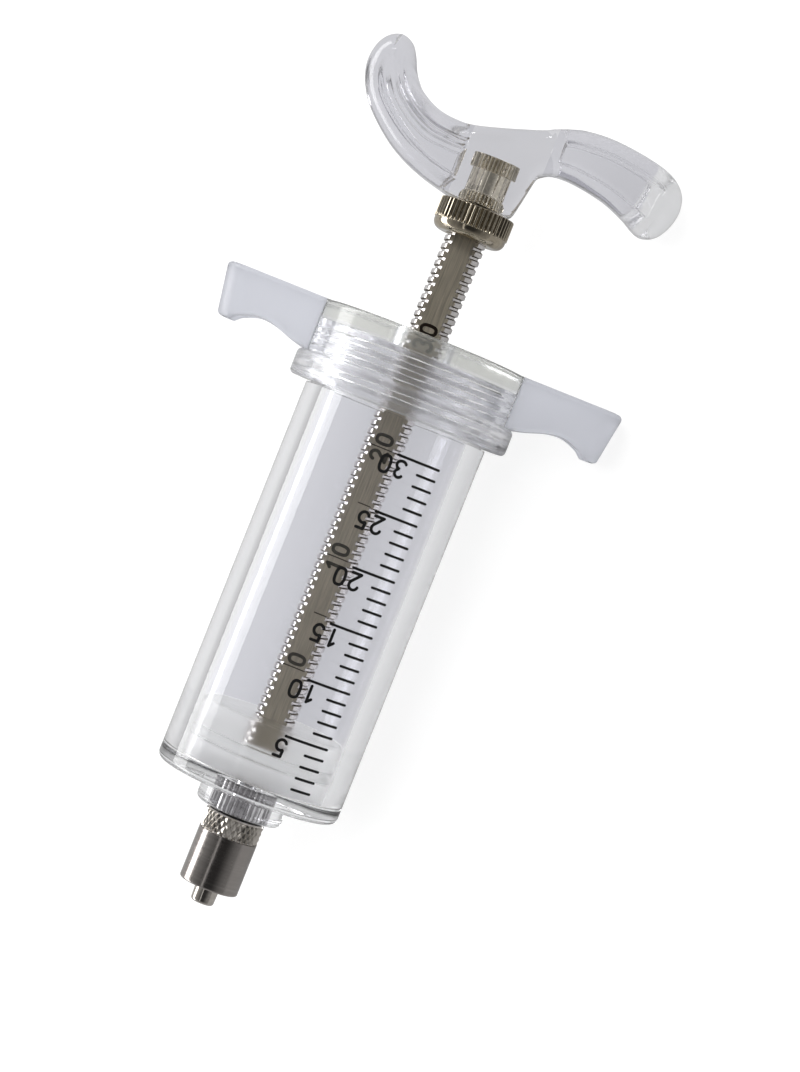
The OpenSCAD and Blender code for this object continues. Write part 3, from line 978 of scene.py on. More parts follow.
@dataclass(frozen=True)
class Barrel:
    """Clear barrel with its end wall, nozzle boss, threaded neck and printed scale."""

    bench: Bench
    bore_r: float = 12.75
    wall_end: float = -2.6
    boss_r: float = 7.5
    port_r: float = 1.5
    hidden_r: float = 2.9
    port_len: float = 0.3
    end_edge_r: float = 1.1
    boss_root_r: float = 0.5
    boss_edge_r: float = 1.0
    floor_edge_r: float = 0.3
    neck_thread: float = 9.6
    thread_end: float = 0.4
    neck_inset: float = 0.7
    shoulder_gap: float = 0.3
    scale_top: float = 58.742
    capacity: int = 30
    tick_from: float = 3.0
    short_from: float = 7.0
    tick_to: float = 10.0
    tick_w: float = 0.44
    tick_points: int = 20
    figure_h: float = 3.2
    figure_w: float = 0.5
    figure_x: float = 2.8
    figure_drop: float = 0.5
    ink_t: float = 0.03
    ink_lift: float = 0.01

    @property
    def outer_r(self) -> float:
        """Outer radius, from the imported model."""
        return self.bench.radius("barrel")

    def thread(self) -> PlasticThread:
        """The thread that the neck shares with the cap."""
        _, rim = self.bench.reach("barrel")
        return PlasticThread(rim - self.neck_thread, rim - self.thread_end)

    def body(self) -> bpy.types.Object:
        """The barrel itself, turned from one closed section."""
        boss_end, rim = self.bench.reach("barrel")
        _, bush_top = self.bench.reach("nozzle_bush")
        cap_low, _ = self.bench.reach("cap")
        _, piston_top = self.bench.reach("piston")
        shoulder = cap_low - self.shoulder_gap
        neck_r = self.outer_r - self.neck_inset
        thread = self.thread()
        corners = [
            Corner(self.port_r, 0, 0.1, 6),
            Corner(self.bore_r, 0, self.floor_edge_r),
            Corner(self.bore_r, piston_top),
            Corner(self.bore_r, shoulder),
            Corner(self.bore_r, rim, 0.25, 2),
            Corner(neck_r, rim, 0.35, 90),
            Corner(neck_r, shoulder, 0.1),
            Corner(self.outer_r, shoulder, 0.15, 12),
            Corner(self.outer_r, self.wall_end, self.end_edge_r),
            Corner(self.boss_r, self.wall_end, self.boss_root_r),
            Corner(self.boss_r, boss_end, self.boss_edge_r),
            Corner(self.hidden_r, boss_end),
            Corner(self.hidden_r, bush_top - self.port_len),
            Corner(self.port_r, bush_top - self.port_len),
        ]

        def relief(theta: np.ndarray, r: np.ndarray, z: np.ndarray) -> np.ndarray:
            """Raises the thread on the neck's outer wall."""
            outside = (r > neck_r - NEAR / 10) & (z > shoulder + self.shoulder_gap)
            return np.where(outside, thread.ridge(theta, z), 0)

        def moulded(centres: np.ndarray, normals: np.ndarray) -> np.ndarray:
            """Tells neck, piston's seat, the bore's two halves and the end from the wall. The far
            half of the bore takes a darker copy of its acrylic, as painted shade.
            """
            across, z = np.hypot(centres[:, 0], centres[:, 1]), centres[:, 2]
            bore = (across < self.bore_r + NEAR) & (z > -NEAR / 2)
            seat = bore & (z < piston_top)
            # The far half of the bore gets the darker acrylic: painted shade
            far = bore & (centres[:, 1] > 0)
            end = (z < self.wall_end + NEAR / 5) & (across > self.boss_r + 4 * NEAR)
            return np.select([z > shoulder, seat, far, bore, end], [3, 4, 2, 1, 5], 0)

        piece = turned(self.bench, "barrel_body", corners, 256, relief, zones=moulded)
        finishes = [
            Finish.BARREL,
            Finish.BORE,
            Finish.FAR_BORE,
            Finish.SATIN,
            Finish.SEAT,
            Finish.FOGGED,
        ]
        return fit(piece, finishes, "barrel", ["barrel"])

    def print_stroke(self, form: Form, path: np.ndarray, width: float) -> None:
        """Lays one pen stroke on the barrel: across becomes arc length round it.

        Args:
            form: the print in the making.
            path: points (arc length from the front line, height).
            width: the pen's width.
        """
        grid = pen_stroke(path, width, self.ink_t)
        r = self.outer_r + self.ink_lift + grid[..., 2]
        angle = grid[..., 0] / self.outer_r
        form.add(np.stack([r * np.sin(angle), -r * np.cos(angle), grid[..., 1]], -1), False, True)

    def arc_at(self, x: float) -> float:
        """Arc length from the front line to the place that shows at x."""
        return self.outer_r * math.asin(x / self.outer_r)

    def scale(self) -> bpy.types.Object:
        """Printed marks at every millilitre and numerals at every fifth, read nozzle up."""
        form = Form()
        step = self.scale_top / self.capacity
        for millilitre in range(1, self.capacity + 1):
            fifth = millilitre % 5 == 0
            z = millilitre * step
            start = self.arc_at(self.tick_from if fifth else self.short_from)
            end = self.arc_at(self.tick_to)
            places = np.linspace(start, end, self.tick_points)
            self.print_stroke(form, np.stack([places, np.full_like(places, z)], -1), self.tick_w)
            if not fifth:
                continue
            text = str(millilitre)
            h = self.figure_h
            span = (Figures.advance * (len(text) - 1) + Figures.width) * h
            start = self.arc_at(self.figure_x) + span / 2
            for place, digit in enumerate(text):
                for stroke in Figures.strokes(digit):
                    across = start - (stroke[:, 0] + place * Figures.advance) * h
                    up = z - self.figure_drop - h + (1 - stroke[:, 1]) * h
                    self.print_stroke(form, np.stack([across, up], -1), self.figure_w)
        piece = form.build("barrel_scale_print", self.bench)
        return fit(piece, Finish.INK, "barrel")

    def build(self) -> None:
        """Builds the barrel and its scale."""
        self.body()
        self.scale()


@dataclass(frozen=True)
class Insert:
    """Knurled metal insert: a toothed band at each end of a waist, with a bore.

    Its knurl reaches past both ends of the insert, so that it doesn't run out there.
    """

    bench: Bench
    node: str
    body: str
    outer_r: float
    waist_r: float
    bore_r: float
    low_band: float
    high_band: float
    teeth: int
    finish: Finish
    depth: float = 0.4
    flat_share: float = 0.25
    edge_r: float = 0.12

    def build(self) -> None:
        """Builds the insert from one closed section with a straight knurl on its bands."""
        low, high = self.bench.reach(self.node)
        edge = self.edge_r
        waist_low, waist_high = low + self.low_band, high - self.high_band
        corners = [
            Corner(self.bore_r, low, edge),
            Corner(self.outer_r, low, edge, 4),
            Corner(self.outer_r, waist_low, edge),
            Corner(self.waist_r, waist_low, edge, 2),
            Corner(self.waist_r, waist_high, edge),
            Corner(self.outer_r, waist_high, edge, 4),
            Corner(self.outer_r, high, edge),
            Corner(self.bore_r, high, edge),
        ]
        bands_r = self.outer_r - 2 * NEAR
        knurl = StraightKnurl(
            self.teeth, self.depth, low - 1, high + 1, bands_r, flat_share=self.flat_share
        )
        piece = turned(
            self.bench, self.node + "_metal", corners, self.teeth * 16, knurl.relief, 25,
            rounding=(3, 0.03),
        )
        fit(piece, self.finish, self.body, [self.node])


@dataclass(frozen=True)
class Nozzle:
    """Luer-lock nozzle: screwed stub, knurled collar, cone, lock sleeve and sealing ring."""

    bench: Bench
    stub_r: float = 2.1
    stub_pitch: float = 0.7
    cone_tip_r: float = 1.975
    cone_slope: float = 0.03
    way_r: float = 1.0
    sleeve_bore_r: float = 4.0
    seat: float = 1.6
    knurl_count: int = 32
    knurl_depth: float = 0.28
    chamfer: float = 0.25
    running_gap: float = 0.08
    lock_pitch: float = 5.0
    lock_depth: float = 0.45
    lock_steepness: float = 1.6
    lock_inset: float = 0.4

    def collar(self) -> bpy.types.Object:
        """Nozzle turned in one piece, with a diamond knurl on its collar."""
        tip, stub_top = self.bench.reach("nozzle")
        _, sleeve_top = self.bench.reach("lock_sleeve")
        seal_low, _ = self.bench.reach("nozzle_seal")
        outer_r = self.bench.radius("nozzle")
        base_r = self.cone_tip_r + self.cone_slope * (sleeve_top - tip)
        spigot_r = self.sleeve_bore_r - self.running_gap
        low, high = sleeve_top + 0.06, seal_low - self.chamfer
        corners = [
            Corner(self.way_r, tip, 0.15),
            Corner(self.cone_tip_r, tip, 0.5),
            Corner(base_r, sleeve_top - self.seat, 0.3),
            Corner(spigot_r, sleeve_top - self.seat, 0.2),
            Corner(spigot_r, sleeve_top - 0.15),
            Corner(outer_r - self.chamfer, sleeve_top),
            Corner(outer_r, sleeve_top + 0.05, 0, 40),
            Corner(outer_r, seal_low - 0.22),
            Corner(outer_r - self.chamfer, seal_low, 0.1),
            Corner(self.stub_r, seal_low, 0.05),
            Corner(self.stub_r, stub_top, 0.3),
            Corner(self.way_r, stub_top, 0.1),
        ]
        knurl = DiamondKnurl(self.knurl_count, self.knurl_depth, low, high, outer_r)
        columns = self.knurl_count * 12
        piece = turned(
            self.bench, "nozzle_collar_and_cone", corners, columns, knurl.relief, 28
        )
        return fit(piece, Finish.COLLAR, "nozzle", ["nozzle"])

    def stub_thread(self) -> bpy.types.Object:
        """Fine thread on the stub that screws into the bush."""
        _, seal_high = self.bench.reach("nozzle_seal")
        _, stub_top = self.bench.reach("nozzle")
        rod = ScrewRod(
            crest_r=self.stub_r + 0.04, root_r=self.stub_r - 0.3, pitch=self.stub_pitch,
            low=seal_high, high=stub_top - 0.35, crest_share=0.2, flank=0.2, chamfer=0.04,
            columns=48,
        )
        piece = rod.form().build("nozzle_stub_thread", self.bench)
        return fit(piece, Finish.COLLAR, "nozzle")

    def sleeve(self) -> bpy.types.Object:
        """Smooth sleeve with the female hub's lock thread inside."""
        low, high = self.bench.reach("lock_sleeve")
        outer_r = self.bench.radius("lock_sleeve")
        corners = [
            Corner(self.sleeve_bore_r, low, 0.2),
            Corner(outer_r, low, 0.35),
            Corner(outer_r, high, 0.12),
            Corner(self.sleeve_bore_r, high, 0.05, 60),
        ]

        def relief(theta: np.ndarray, r: np.ndarray, z: np.ndarray) -> np.ndarray:
            """Raises a two-start thread on the inner wall below the nozzle's seat."""
            wave = np.cos(2 * (TURN * z / self.lock_pitch - theta))
            ridge = smoothstep(self.lock_steepness * wave - 0.1)
            ends = faded(z, low + self.lock_inset, high - self.seat - self.lock_inset, 0.6)
            inside = r < self.sleeve_bore_r + NEAR / 10
            return np.where(inside, -self.lock_depth * ridge * ends, 0)

        piece = turned(self.bench, "lock_sleeve_metal", corners, 192, relief)
        return fit(piece, Finish.SLEEVE, "nozzle", ["lock_sleeve"])

    def seal(self) -> bpy.types.Object:
        """Black ring squeezed between the collar and the boss."""
        low, high = self.bench.reach("nozzle_seal")
        outer_r = self.bench.radius("nozzle_seal")
        corners = [
            Corner(self.stub_r + 0.2, low, 0.05),
            Corner(outer_r, low, 0.22),
            Corner(outer_r, high, 0.22),
            Corner(self.stub_r + 0.2, high, 0.05),
        ]
        piece = turned(self.bench, "nozzle_seal_ring", corners, 96)
        return fit(piece, Finish.RUBBER, "nozzle", ["nozzle_seal"])

    def build(self) -> None:
        """Builds the nozzle's four pieces."""
        self.collar()
        self.stub_thread()
        self.sleeve()
        self.seal()


@dataclass(frozen=True)
class Cap:
    """Screw cap with its two finger wings, as one closed skin.

    Its columns run round the plan's outline, which has both wings, and its rows go from the
    spindle's hole over the top, down the outer wall, back under the wings, round the band
    and up the threaded inside.
    """

    bench: Bench
    thread: PlasticThread
    body_r: float = 18.3
    band_h: float = 4.5
    inner_r: float = 15.6
    hole_r: float = 4.1
    edge_r: float = 0.8
    flare_r: float = 0.4
    root_len: float = 2.0
    lean: float = 1.2
    lean_from: float = 24.0
    lean_len: float = 10.0
    thread_rows: int = 92
    under_side: Pairs = (
        (16.0, -9.1), (18.0, -9.05), (20.9, -8.4), (24.6, -7.2), (27.7, -7.0), (31.1, -8.0),
        (32.9, -9.1), (34.2, -9.1), (36.0, -9.1),
    )

    def plan(self) -> np.ndarray:
        """Outline from above, a quarter mirrored round.

        The quarter has half the tip, a rounded corner, a straight side, a flare and an arc of
        the body.

        Returns:
            The points (x, y) of the closed outline, anticlockwise from the right tip.
        """
        tip_x, tip_r = WING_SPAN / 2, WING_TIP_R
        y = WING_DEPTH / 2
        f = self.flare_r
        flare_x = math.sqrt((self.body_r + f) ** 2 - (y + f) ** 2)
        meet = math.atan2(y + f, flare_x)
        corner = np.linspace(0, math.pi / 2, 13)
        hollow = np.linspace(-math.pi / 2, meet - math.pi, 8)
        round_body = np.linspace(meet, math.pi / 2, 46)[1:]
        side_x = np.linspace(tip_x - tip_r, flare_x, 30)[1:-1]
        quarter = np.vstack([
            np.stack([np.full(4, tip_x), np.linspace(0, y - tip_r, 5)[:-1]], -1),
            np.stack([tip_x - tip_r * (1 - np.cos(corner)), y - tip_r * (1 - np.sin(corner))], -1),
            np.stack([side_x, np.full_like(side_x, y)], -1),
            np.stack([flare_x + f * np.cos(hollow), y + f + f * np.sin(hollow)], -1),
            self.body_r * np.stack([np.cos(round_body), np.sin(round_body)], -1),
        ])
        half = np.vstack([quarter, quarter[-2::-1] * (-1, 1)])
        return np.vstack([half, half[-2:0:-1] * (1, -1)])

    def under_height(self, x: np.ndarray, band_top: float) -> np.ndarray:
        """Height of the wings' underside, which never goes below the band's top.

        Args:
            x: distances from the axis, to either side.
            band_top: height of the band's top.

        Returns:
            The height at each distance.
        """
        _, top = self.bench.reach("cap")
        curve = smooth_curve(np.array(self.under_side), 8)
        return np.maximum(top + np.interp(np.abs(x), curve[:, 0], curve[:, 1]), band_top)

    def on_wall(self, r: np.ndarray | float) -> np.ndarray | bool:
        """Tells whether radii are those of the threaded inner wall."""
        return np.abs(r - self.inner_r) < NEAR / 10

    def skirt_section(self, seat_r: float) -> np.ndarray:
        """Section round the band, up the inside and through the spindle's hole.

        The threaded wall's own points make way for evenly spaced ones.

        Args:
            seat_r: radius on the band's top at which the section starts.

        Returns:
            Points (radius, height).
        """
        low, top = self.bench.reach("cap")
        _, rim = self.bench.reach("barrel")
        band_top, band_r = low + self.band_h, self.bench.radius("cap")
        rounded = section([
            Corner(seat_r, band_top),
            Corner(band_r, band_top, self.edge_r),
            Corner(band_r, low, self.edge_r),
            Corner(self.inner_r, low, 0.3),
            Corner(self.inner_r, rim, 0.15),
            Corner(self.hole_r, rim, 0.25),
            Corner(self.hole_r, top),
        ])[1:-1]
        heights = np.linspace(self.thread.low - 0.2, self.thread.high + 0.1, self.thread_rows)
        threaded = np.stack([np.full_like(heights, self.inner_r), heights], -1)
        plain = rounded[~(self.on_wall(rounded[:, 0]) & (rounded[:, 1] > heights[0]))]
        # The first point of the wall over the rounding at its foot
        foot = int(np.argmax(self.on_wall(plain[:, 0]) & (plain[:, 1] > low + 0.2))) + 1
        return np.vstack([plain[:foot], threaded, plain[foot:]])

    def build(self) -> None:
        """Builds the cap's skin row by row.

        A share f goes from 0 to 1 over a straight step, and an angle a round each edge.
        """
        low, top = self.bench.reach("cap")
        _, rim = self.bench.reach("barrel")
        band_top = low + self.band_h
        e = self.edge_r
        seat_r = self.bench.radius("cap") - e
        plan = self.plan()
        count = len(plan)
        theta = np.arctan2(plan[:, 1], plan[:, 0])
        ray = np.stack([np.cos(theta), np.sin(theta)], -1)
        run = np.roll(plan, -1, 0) - np.roll(plan, 1, 0)
        normal = np.stack([run[:, 1], -run[:, 0]], -1) / np.linalg.norm(run, axis=1, keepdims=True)
        radial = np.linalg.norm(plan, axis=1)
        on_wing = smoothstep((radial - self.body_r) / self.root_len)[:, None]
        tipped = smoothstep((np.abs(plan[:, :1]) - self.lean_from) / self.lean_len)
        toward_axis = np.hstack([-np.sign(plan[:, :1]) * tipped * self.lean, np.zeros((count, 1))])
        depth = top - self.under_height(plan[:, 0], band_top)[:, None]
        rows = []

        def row(flat: np.ndarray, height: np.ndarray | float) -> None:
            """Adds one row.

            Args:
                flat: its points (x, y).
                height: its height, one for all points or one for each.
            """
            z = np.broadcast_to(np.asarray(height, float), (count, 1))
            rows.append(np.hstack([flat, z]))

        hole = ray * self.hole_r
        inset = plan - normal * e
        for f in (0.0, 0.02, 0.98, 1.0):
            row(hole * (1 - f) + inset * f, top)
        for a in np.linspace(0, math.pi / 2, 7)[1:]:
            row(plan - normal * e * (1 - math.sin(a)), top - e * (1 - math.cos(a)))
        low_e = e * on_wing
        for f in (0.02, 0.25, 0.5, 0.75, 0.98, 1.0):
            row(plan + toward_axis * f, top - e - (depth - e - low_e) * f)
        for a in np.linspace(0, math.pi / 2, 6)[1:]:
            flat = plan + toward_axis - normal * low_e * (1 - math.cos(a))
            row(flat, top - depth + low_e * (1 - math.sin(a)))
        start = plan + toward_axis - normal * low_e
        for f in np.linspace(0, 1, 14)[1:]:
            flat = start * (1 - f) + ray * seat_r * f
            row(flat, self.under_height(flat[:, 0], band_top)[:, None])
        for r, z in self.skirt_section(seat_r):
            if self.on_wall(r):
                r = self.inner_r + self.thread.ridge(theta, np.full(count, z))[:, None]
            row(ray * r, z)

        def moulded(centres: np.ndarray, normals: np.ndarray) -> np.ndarray:
            """Tells the wings, the band, the threaded inside and the top from the skirt."""
            across, z = np.hypot(centres[:, 0], centres[:, 1]), centres[:, 2]
            plate = z > rim - NEAR / 2
            wing = (across > self.body_r + NEAR) & (z > band_top + NEAR / 10)
            band = (across > self.body_r - NEAR) & (z < band_top + NEAR / 10)
            inside = (across < self.inner_r + 5 * NEAR) & (z < rim - NEAR / 2)
            hole = (across < self.hole_r + NEAR) & plate
            return np.select([wing, band, inside | hole, plate], [4, 3, 2, 1], 0)

        form = Form().add(np.stack(rows), True, True)
        piece = form.build("cap_with_wings", self.bench, zones=moulded)
        finishes = [Finish.CAP, Finish.CAP_TOP, Finish.THREADED, Finish.BAND, Finish.WING]
        fit(piece, finishes, "cap", ["cap"])


@dataclass(frozen=True)
class Spindle:
    """Threaded rod with two milled flats, the front one graduated, and its spigot."""

    bench: Bench
    crest_r: float = 3.5
    root_r: float = 3.1
    pitch: float = 1.5
    flat: float = 2.5
    flat_turn: float = math.radians(4)
    spigot_r: float = 2.5
    spigot_sink: float = 0.5
    zero: float = 19.6
    figure_h: float = 3.0
    figure_w: float = 0.56
    figure_gap: float = 0.45
    line_w: float = 0.2
    line_reach: float = 1.9
    half_line_from: float = -0.2
    paint_t: float = 0.02
    paint_lift: float = 0.004
    tens: tuple[int, ...] = (0, 10, 20, 30)

    def rod(self) -> bpy.types.Object:
        """The rod's helical skin, with its spigot."""
        low, high = self.bench.reach("spindle")
        hub, _ = self.bench.reach("handle")
        rod = ScrewRod(
            crest_r=self.crest_r, root_r=self.root_r, pitch=self.pitch, low=low, high=hub,
            flat=self.flat, flat_turn=self.flat_turn,
        )
        start = hub - self.spigot_sink
        spigot = np.array([(0, start), (self.spigot_r, start), (self.spigot_r, high), (0, high)])
        form = rod.form().add(lathe(spigot, ring_angles(48)), False, True)

        def worn(centres: np.ndarray, normals: np.ndarray) -> np.ndarray:
            """Tells the plated crests and root, the brushed flats and the flanks apart; the flanks
            take a dark copy of the plating, painted shade in the thread's grooves.
            """
            facing = np.abs(normals @ (math.sin(self.flat_turn), math.cos(self.flat_turn), 0))
            threaded = centres[:, 2] < hub - self.spigot_sink - NEAR
            # Faces that face along the axis, the flanks, get the dark plating: painted shade
            flank = (np.abs(normals[:, 2]) > 0.8) & threaded
            return np.where(flank, 2, facing > 0.97)

        piece = form.build("spindle_rod", self.bench, 20, worn)
        finishes = [Finish.THREAD, Finish.FLAT, Finish.FLANK]
        return fit(piece, finishes, "plunger", ["spindle"])

    def paint_stroke(self, form: Form, path: np.ndarray, width: float) -> None:
        """Lays one pen stroke on the front flat.

        Args:
            form: the graduation in the making.
            path: points (across the flat, along the rod).
            width: the pen's width.
        """
        grid = pen_stroke(path, width, self.paint_t)
        y = -(self.flat + self.paint_lift + grid[..., 2])
        x = grid[..., 0]
        c, s = math.cos(-self.flat_turn), math.sin(-self.flat_turn)
        form.add(np.stack([c * x - s * y, s * x + c * y, grid[..., 1]], -1), False, True)

    def graduation(self) -> bpy.types.Object:
        """Line and two numerals at every ten, a half line between, read along the rod."""
        form = Form()
        _, cap_top = self.bench.reach("cap")
        step = (cap_top - self.zero) / self.tens[-1]
        h, gap, reach = self.figure_h, self.figure_gap, self.line_reach
        width = Figures.width * h
        for ten in self.tens:
            z = self.zero + ten * step
            self.paint_stroke(form, np.array([(-reach, z), (reach, z)]), self.line_w)
            if ten != self.tens[-1]:
                half = z + 5 * step
                line = np.array([(self.half_line_from, half), (reach, half)])
                self.paint_stroke(form, line, self.line_w)
            starts = [z - gap - width, z + gap] if ten else [z + gap]
            for start, digit in zip(starts, str(ten)):
                for stroke in Figures.strokes(digit):
                    across = h / 2 - stroke[:, 1] * h
                    up = start + stroke[:, 0] * h
                    self.paint_stroke(form, np.stack([across, up], -1), self.figure_w)

        def worn(centres: np.ndarray, normals: np.ndarray) -> np.ndarray:
            """Picks out the marks below the cap's top, inside the cap and the barrel, which take a
            lighter paint.
            """
            return centres[:, 2] < cap_top - 0.3

        piece = form.build("spindle_graduation", self.bench, zones=worn)
        return fit(piece, [Finish.ENGRAVING, Finish.WORN_PAINT], "plunger")

    def build(self) -> None:
        """Builds the rod and its graduation."""
        self.rod()
        self.graduation()


@dataclass(frozen=True)
class DosingNut:
    """Knurled nut with a smooth collar whose lower edge is rounded."""

    bench: Bench
    knurl_h: float = 3.6
    grooves: int = 48
    depth: float = 0.4
    bore_r: float = 3.58
    collar_inset: float = 0.17
    low_edge_r: float = 1.5

    def build(self) -> None:
        """Builds the nut from one closed section."""
        low, high = self.bench.reach("dosing_nut")
        outer_r = self.bench.radius("dosing_nut")
        collar_r = outer_r - self.collar_inset
        knurl_z = high - self.knurl_h
        corners = [
            Corner(self.bore_r, low, 0.3),
            Corner(collar_r, low, self.low_edge_r, 2),
            Corner(collar_r, knurl_z),
            Corner(outer_r, knurl_z + 0.12, 0, 12),
            Corner(outer_r, high, 0.3),
            Corner(self.bore_r, high, 0.3),
        ]
        knurl = StraightKnurl(
            self.grooves, self.depth, knurl_z, high + 0.4, outer_r, run_out=0.35, flat_share=0.3
        )
        piece = turned(
            self.bench, "dosing_nut_metal", corners, self.grooves * 10, knurl.relief, 28,
            rounding=(8, 0.05),
        )
        fit(piece, Finish.NUT, "dosing_nut", ["dosing_nut"])


@dataclass(frozen=True)
class Handle:
    """Clear S-shaped handle: a plate between a lower and an upper edge.

    A station is a place along both edges: it counts the points given for an edge, from the
    right tip to the left. A line across the plate joins the edges at each station. The face
    falls away by a quarter circle within edge_r of the outline. Inside a band along each edge
    a sloping wall goes down to the floor of a pocket. The widths of bands and walls are
    given at stations too. A pocket begins and ends between two pairs of stations.
    """

    bench: Bench
    half: float = 5.5
    pocket_depth: float = 3.0
    hub_side: tuple[float, float] = (-5.6, 7.8)
    tip_side: float = 25.1
    fine: int = 40
    span_columns: int = 14
    wall_columns: int = 9
    lower: Pairs = (
        (30.7, 8.8), (29.4, 6.5), (27.6, 5.4), (25.6, 5.5), (22.5, 7.1), (18.4, 8.6), (12.9, 9.5),
        (9.2, 9.4), (7.1, 8.2), (5.6, 0), (-5.1, 0), (-11.3, 1.4), (-16.9, 3.9), (-21.7, 7.6),
        (-24.6, 11), (-26.1, 14.9), (-25.9, 18.4), (-24.5, 20.9), (-22.3, 21.899),
    )
    upper: Pairs = (
        (30.7, 8.8), (31.2, 11.7), (30.3, 14.5), (27.6, 16.6), (23.2, 17.8), (17, 18.5),
        (12.2, 18.2), (9.2, 17.3), (7.0, 16.35), (4.2, 15.1), (-4.9, 12.25), (-9.3, 12.02),
        (-12.6, 12.65), (-15.5, 14.2), (-16.7, 15.4), (-17.7, 16.8), (-18.9, 19.3),
        (-20.2, 21.1), (-22.3, 21.899),
    )
    edge_r: Pairs = (
        (0, 5.3), (2.5, 4.0), (6, 4.0), (8, 2.2), (10, 2.2), (11, 4.0), (14.5, 4.0), (17, 5.3),
    )
    low_band: Pairs = ((3, 1.9), (7, 1.9), (10, 1.4), (12, 1.3), (16, 1.3))
    high_band: Pairs = ((3, 2.6), (7, 2.6), (10, 2.4), (11, 1.6), (13, 1.4), (16, 1.4))
    low_wall: Pairs = ((3, 0.5), (8, 0.5), (10, 0.7), (12, 1.6))
    high_wall: Pairs = ((3, 0.6), (8, 0.6), (10, 2.6), (12, 3.6))
    terraces: int = 3
    terraces_from: float = 8.5
    left_pocket: tuple[float, float, float, float] = (10.05, 10.25, 13.4, 16.0)
    right_pocket: tuple[float, float, float, float] = (2.7, 3.8, 6.8, 6.95)

    def edges(self, s: np.ndarray) -> tuple[np.ndarray, np.ndarray]:
        """Points of the lower and the upper edge at given stations.

        Args:
            s: stations, one from each given point to the next.

        Returns:
            The two rows of points (x, height above the hub's underside).
        """
        fine = self.fine
        low, high = np.array(self.lower, float), np.array(self.upper, float)
        runs = [
            smooth_curve(low[:9], fine, high[1]),
            smooth_curve(low[8:10], fine),
            smooth_curve(low[9:11], fine),
            smooth_curve(low[10:], fine, after=high[-2]),
        ]
        lower = np.vstack([runs[0]] + [run[1:] for run in runs[1:]])
        where = np.arange(len(lower)) / fine
        # The hub's right lower corner, station 9, is smoothed in small steps
        softened = smoothstep(4 - np.abs(where - 9))[1:-1, None]
        for _ in range(60):
            lower[1:-1] += softened * (lower[:-2] - 2 * lower[1:-1] + lower[2:]) / 4
        upper = smooth_curve(high, fine, low[1], low[-2])

        def take(edge: np.ndarray) -> np.ndarray:
            """Points of one fine edge at the stations."""
            return np.stack([np.interp(s, where, edge[:, i]) for i in range(2)], -1)

        return take(lower), take(upper)

    @staticmethod
    def distance(points: np.ndarray, outline: np.ndarray) -> np.ndarray:
        """Distance of each point from a closed outline of straight pieces.

        Args:
            points: an array of points (x, height), of any shape.
            outline: the outline's points, without repeating the first.

        Returns:
            The distances, in the shape of the points.
        """
        flat = points.reshape(-1, 2)
        run = np.roll(outline, -1, 0) - outline
        length = np.maximum((run**2).sum(1), 1e-12)
        result = np.empty(len(flat))
        # A few thousand points at a time keep the array of every point and piece small
        batch = 4000
        for first in range(0, len(flat), batch):
            off = flat[first:first + batch, None] - outline[None]
            t = np.clip((off * run).sum(-1) / length, 0, 1)
            result[first:first + batch] = np.linalg.norm(off - t[..., None] * run, axis=-1).min(1)
        return result.reshape(points.shape[:-1])

    def stations(self) -> np.ndarray:
        """Stations of the plate's lines, closer together at the pockets' short walls."""
        last = len(self.lower) - 1
        even = np.linspace(0, last, last * self.span_columns + 1)
        left = np.linspace(*self.left_pocket[:2], self.wall_columns)
        right = np.linspace(*self.right_pocket[2:], self.wall_columns)
        return np.unique(np.clip(np.concatenate([even, left, right]), 0, last))

    def lines(self, s: np.ndarray, width: np.ndarray) -> tuple[np.ndarray, np.ndarray]:
        """Spaces the points on each line, and tells how far the pocket sinks at each.

        Args:
            s: stations of the lines.
            width: length of each line, as a column.

        Returns:
            Each point's distance from the lower edge, and the share of the pocket's depth
            there, as if the pockets ran along the whole plate.
        """
        e = np.minimum(along(s, self.edge_r), 0.22 * width)
        low_band = np.clip(along(s, self.low_band), e + 0.02, 0.22 * width + 0.02)
        high_band = np.clip(along(s, self.high_band), e + 0.02, 0.28 * width + 0.02)
        low_wall = np.maximum(np.minimum(along(s, self.low_wall), 0.27 * width), 1e-6)
        high_wall = np.maximum(np.minimum(along(s, self.high_wall), 0.33 * width), 1e-6)
        floor = width - high_band - low_band - low_wall - high_wall
        quarter = 1 - np.cos(np.linspace(0, math.pi / 2, 9))[None]
        step, middle, fine_step = (np.linspace(0, 1, n)[None, 1:] for n in (6, 11, 19))
        across = np.hstack([
            e * quarter,
            e + (low_band - e) * step,
            low_band + low_wall * step,
            low_band + low_wall + floor * middle,
            width - high_band - high_wall + high_wall * fine_step,
            width - high_band + (high_band - e) * step,
            width - e * quarter[:, ::-1][:, 1:],
        ])
        # The upper wall goes down in terraces in the left arm and in one slope in the right
        terraced = smoothstep(s - self.terraces_from)[:, None]
        count, spacing = self.terraces, 1.6
        climb_in = (width - high_band - across) / high_wall
        steps = sum(smoothstep(climb_in * count * spacing - i * spacing) for i in range(count))
        upper = smoothstep(climb_in) * (1 - terraced) + steps / count * terraced
        return across, smoothstep((across - low_band) / low_wall) * upper

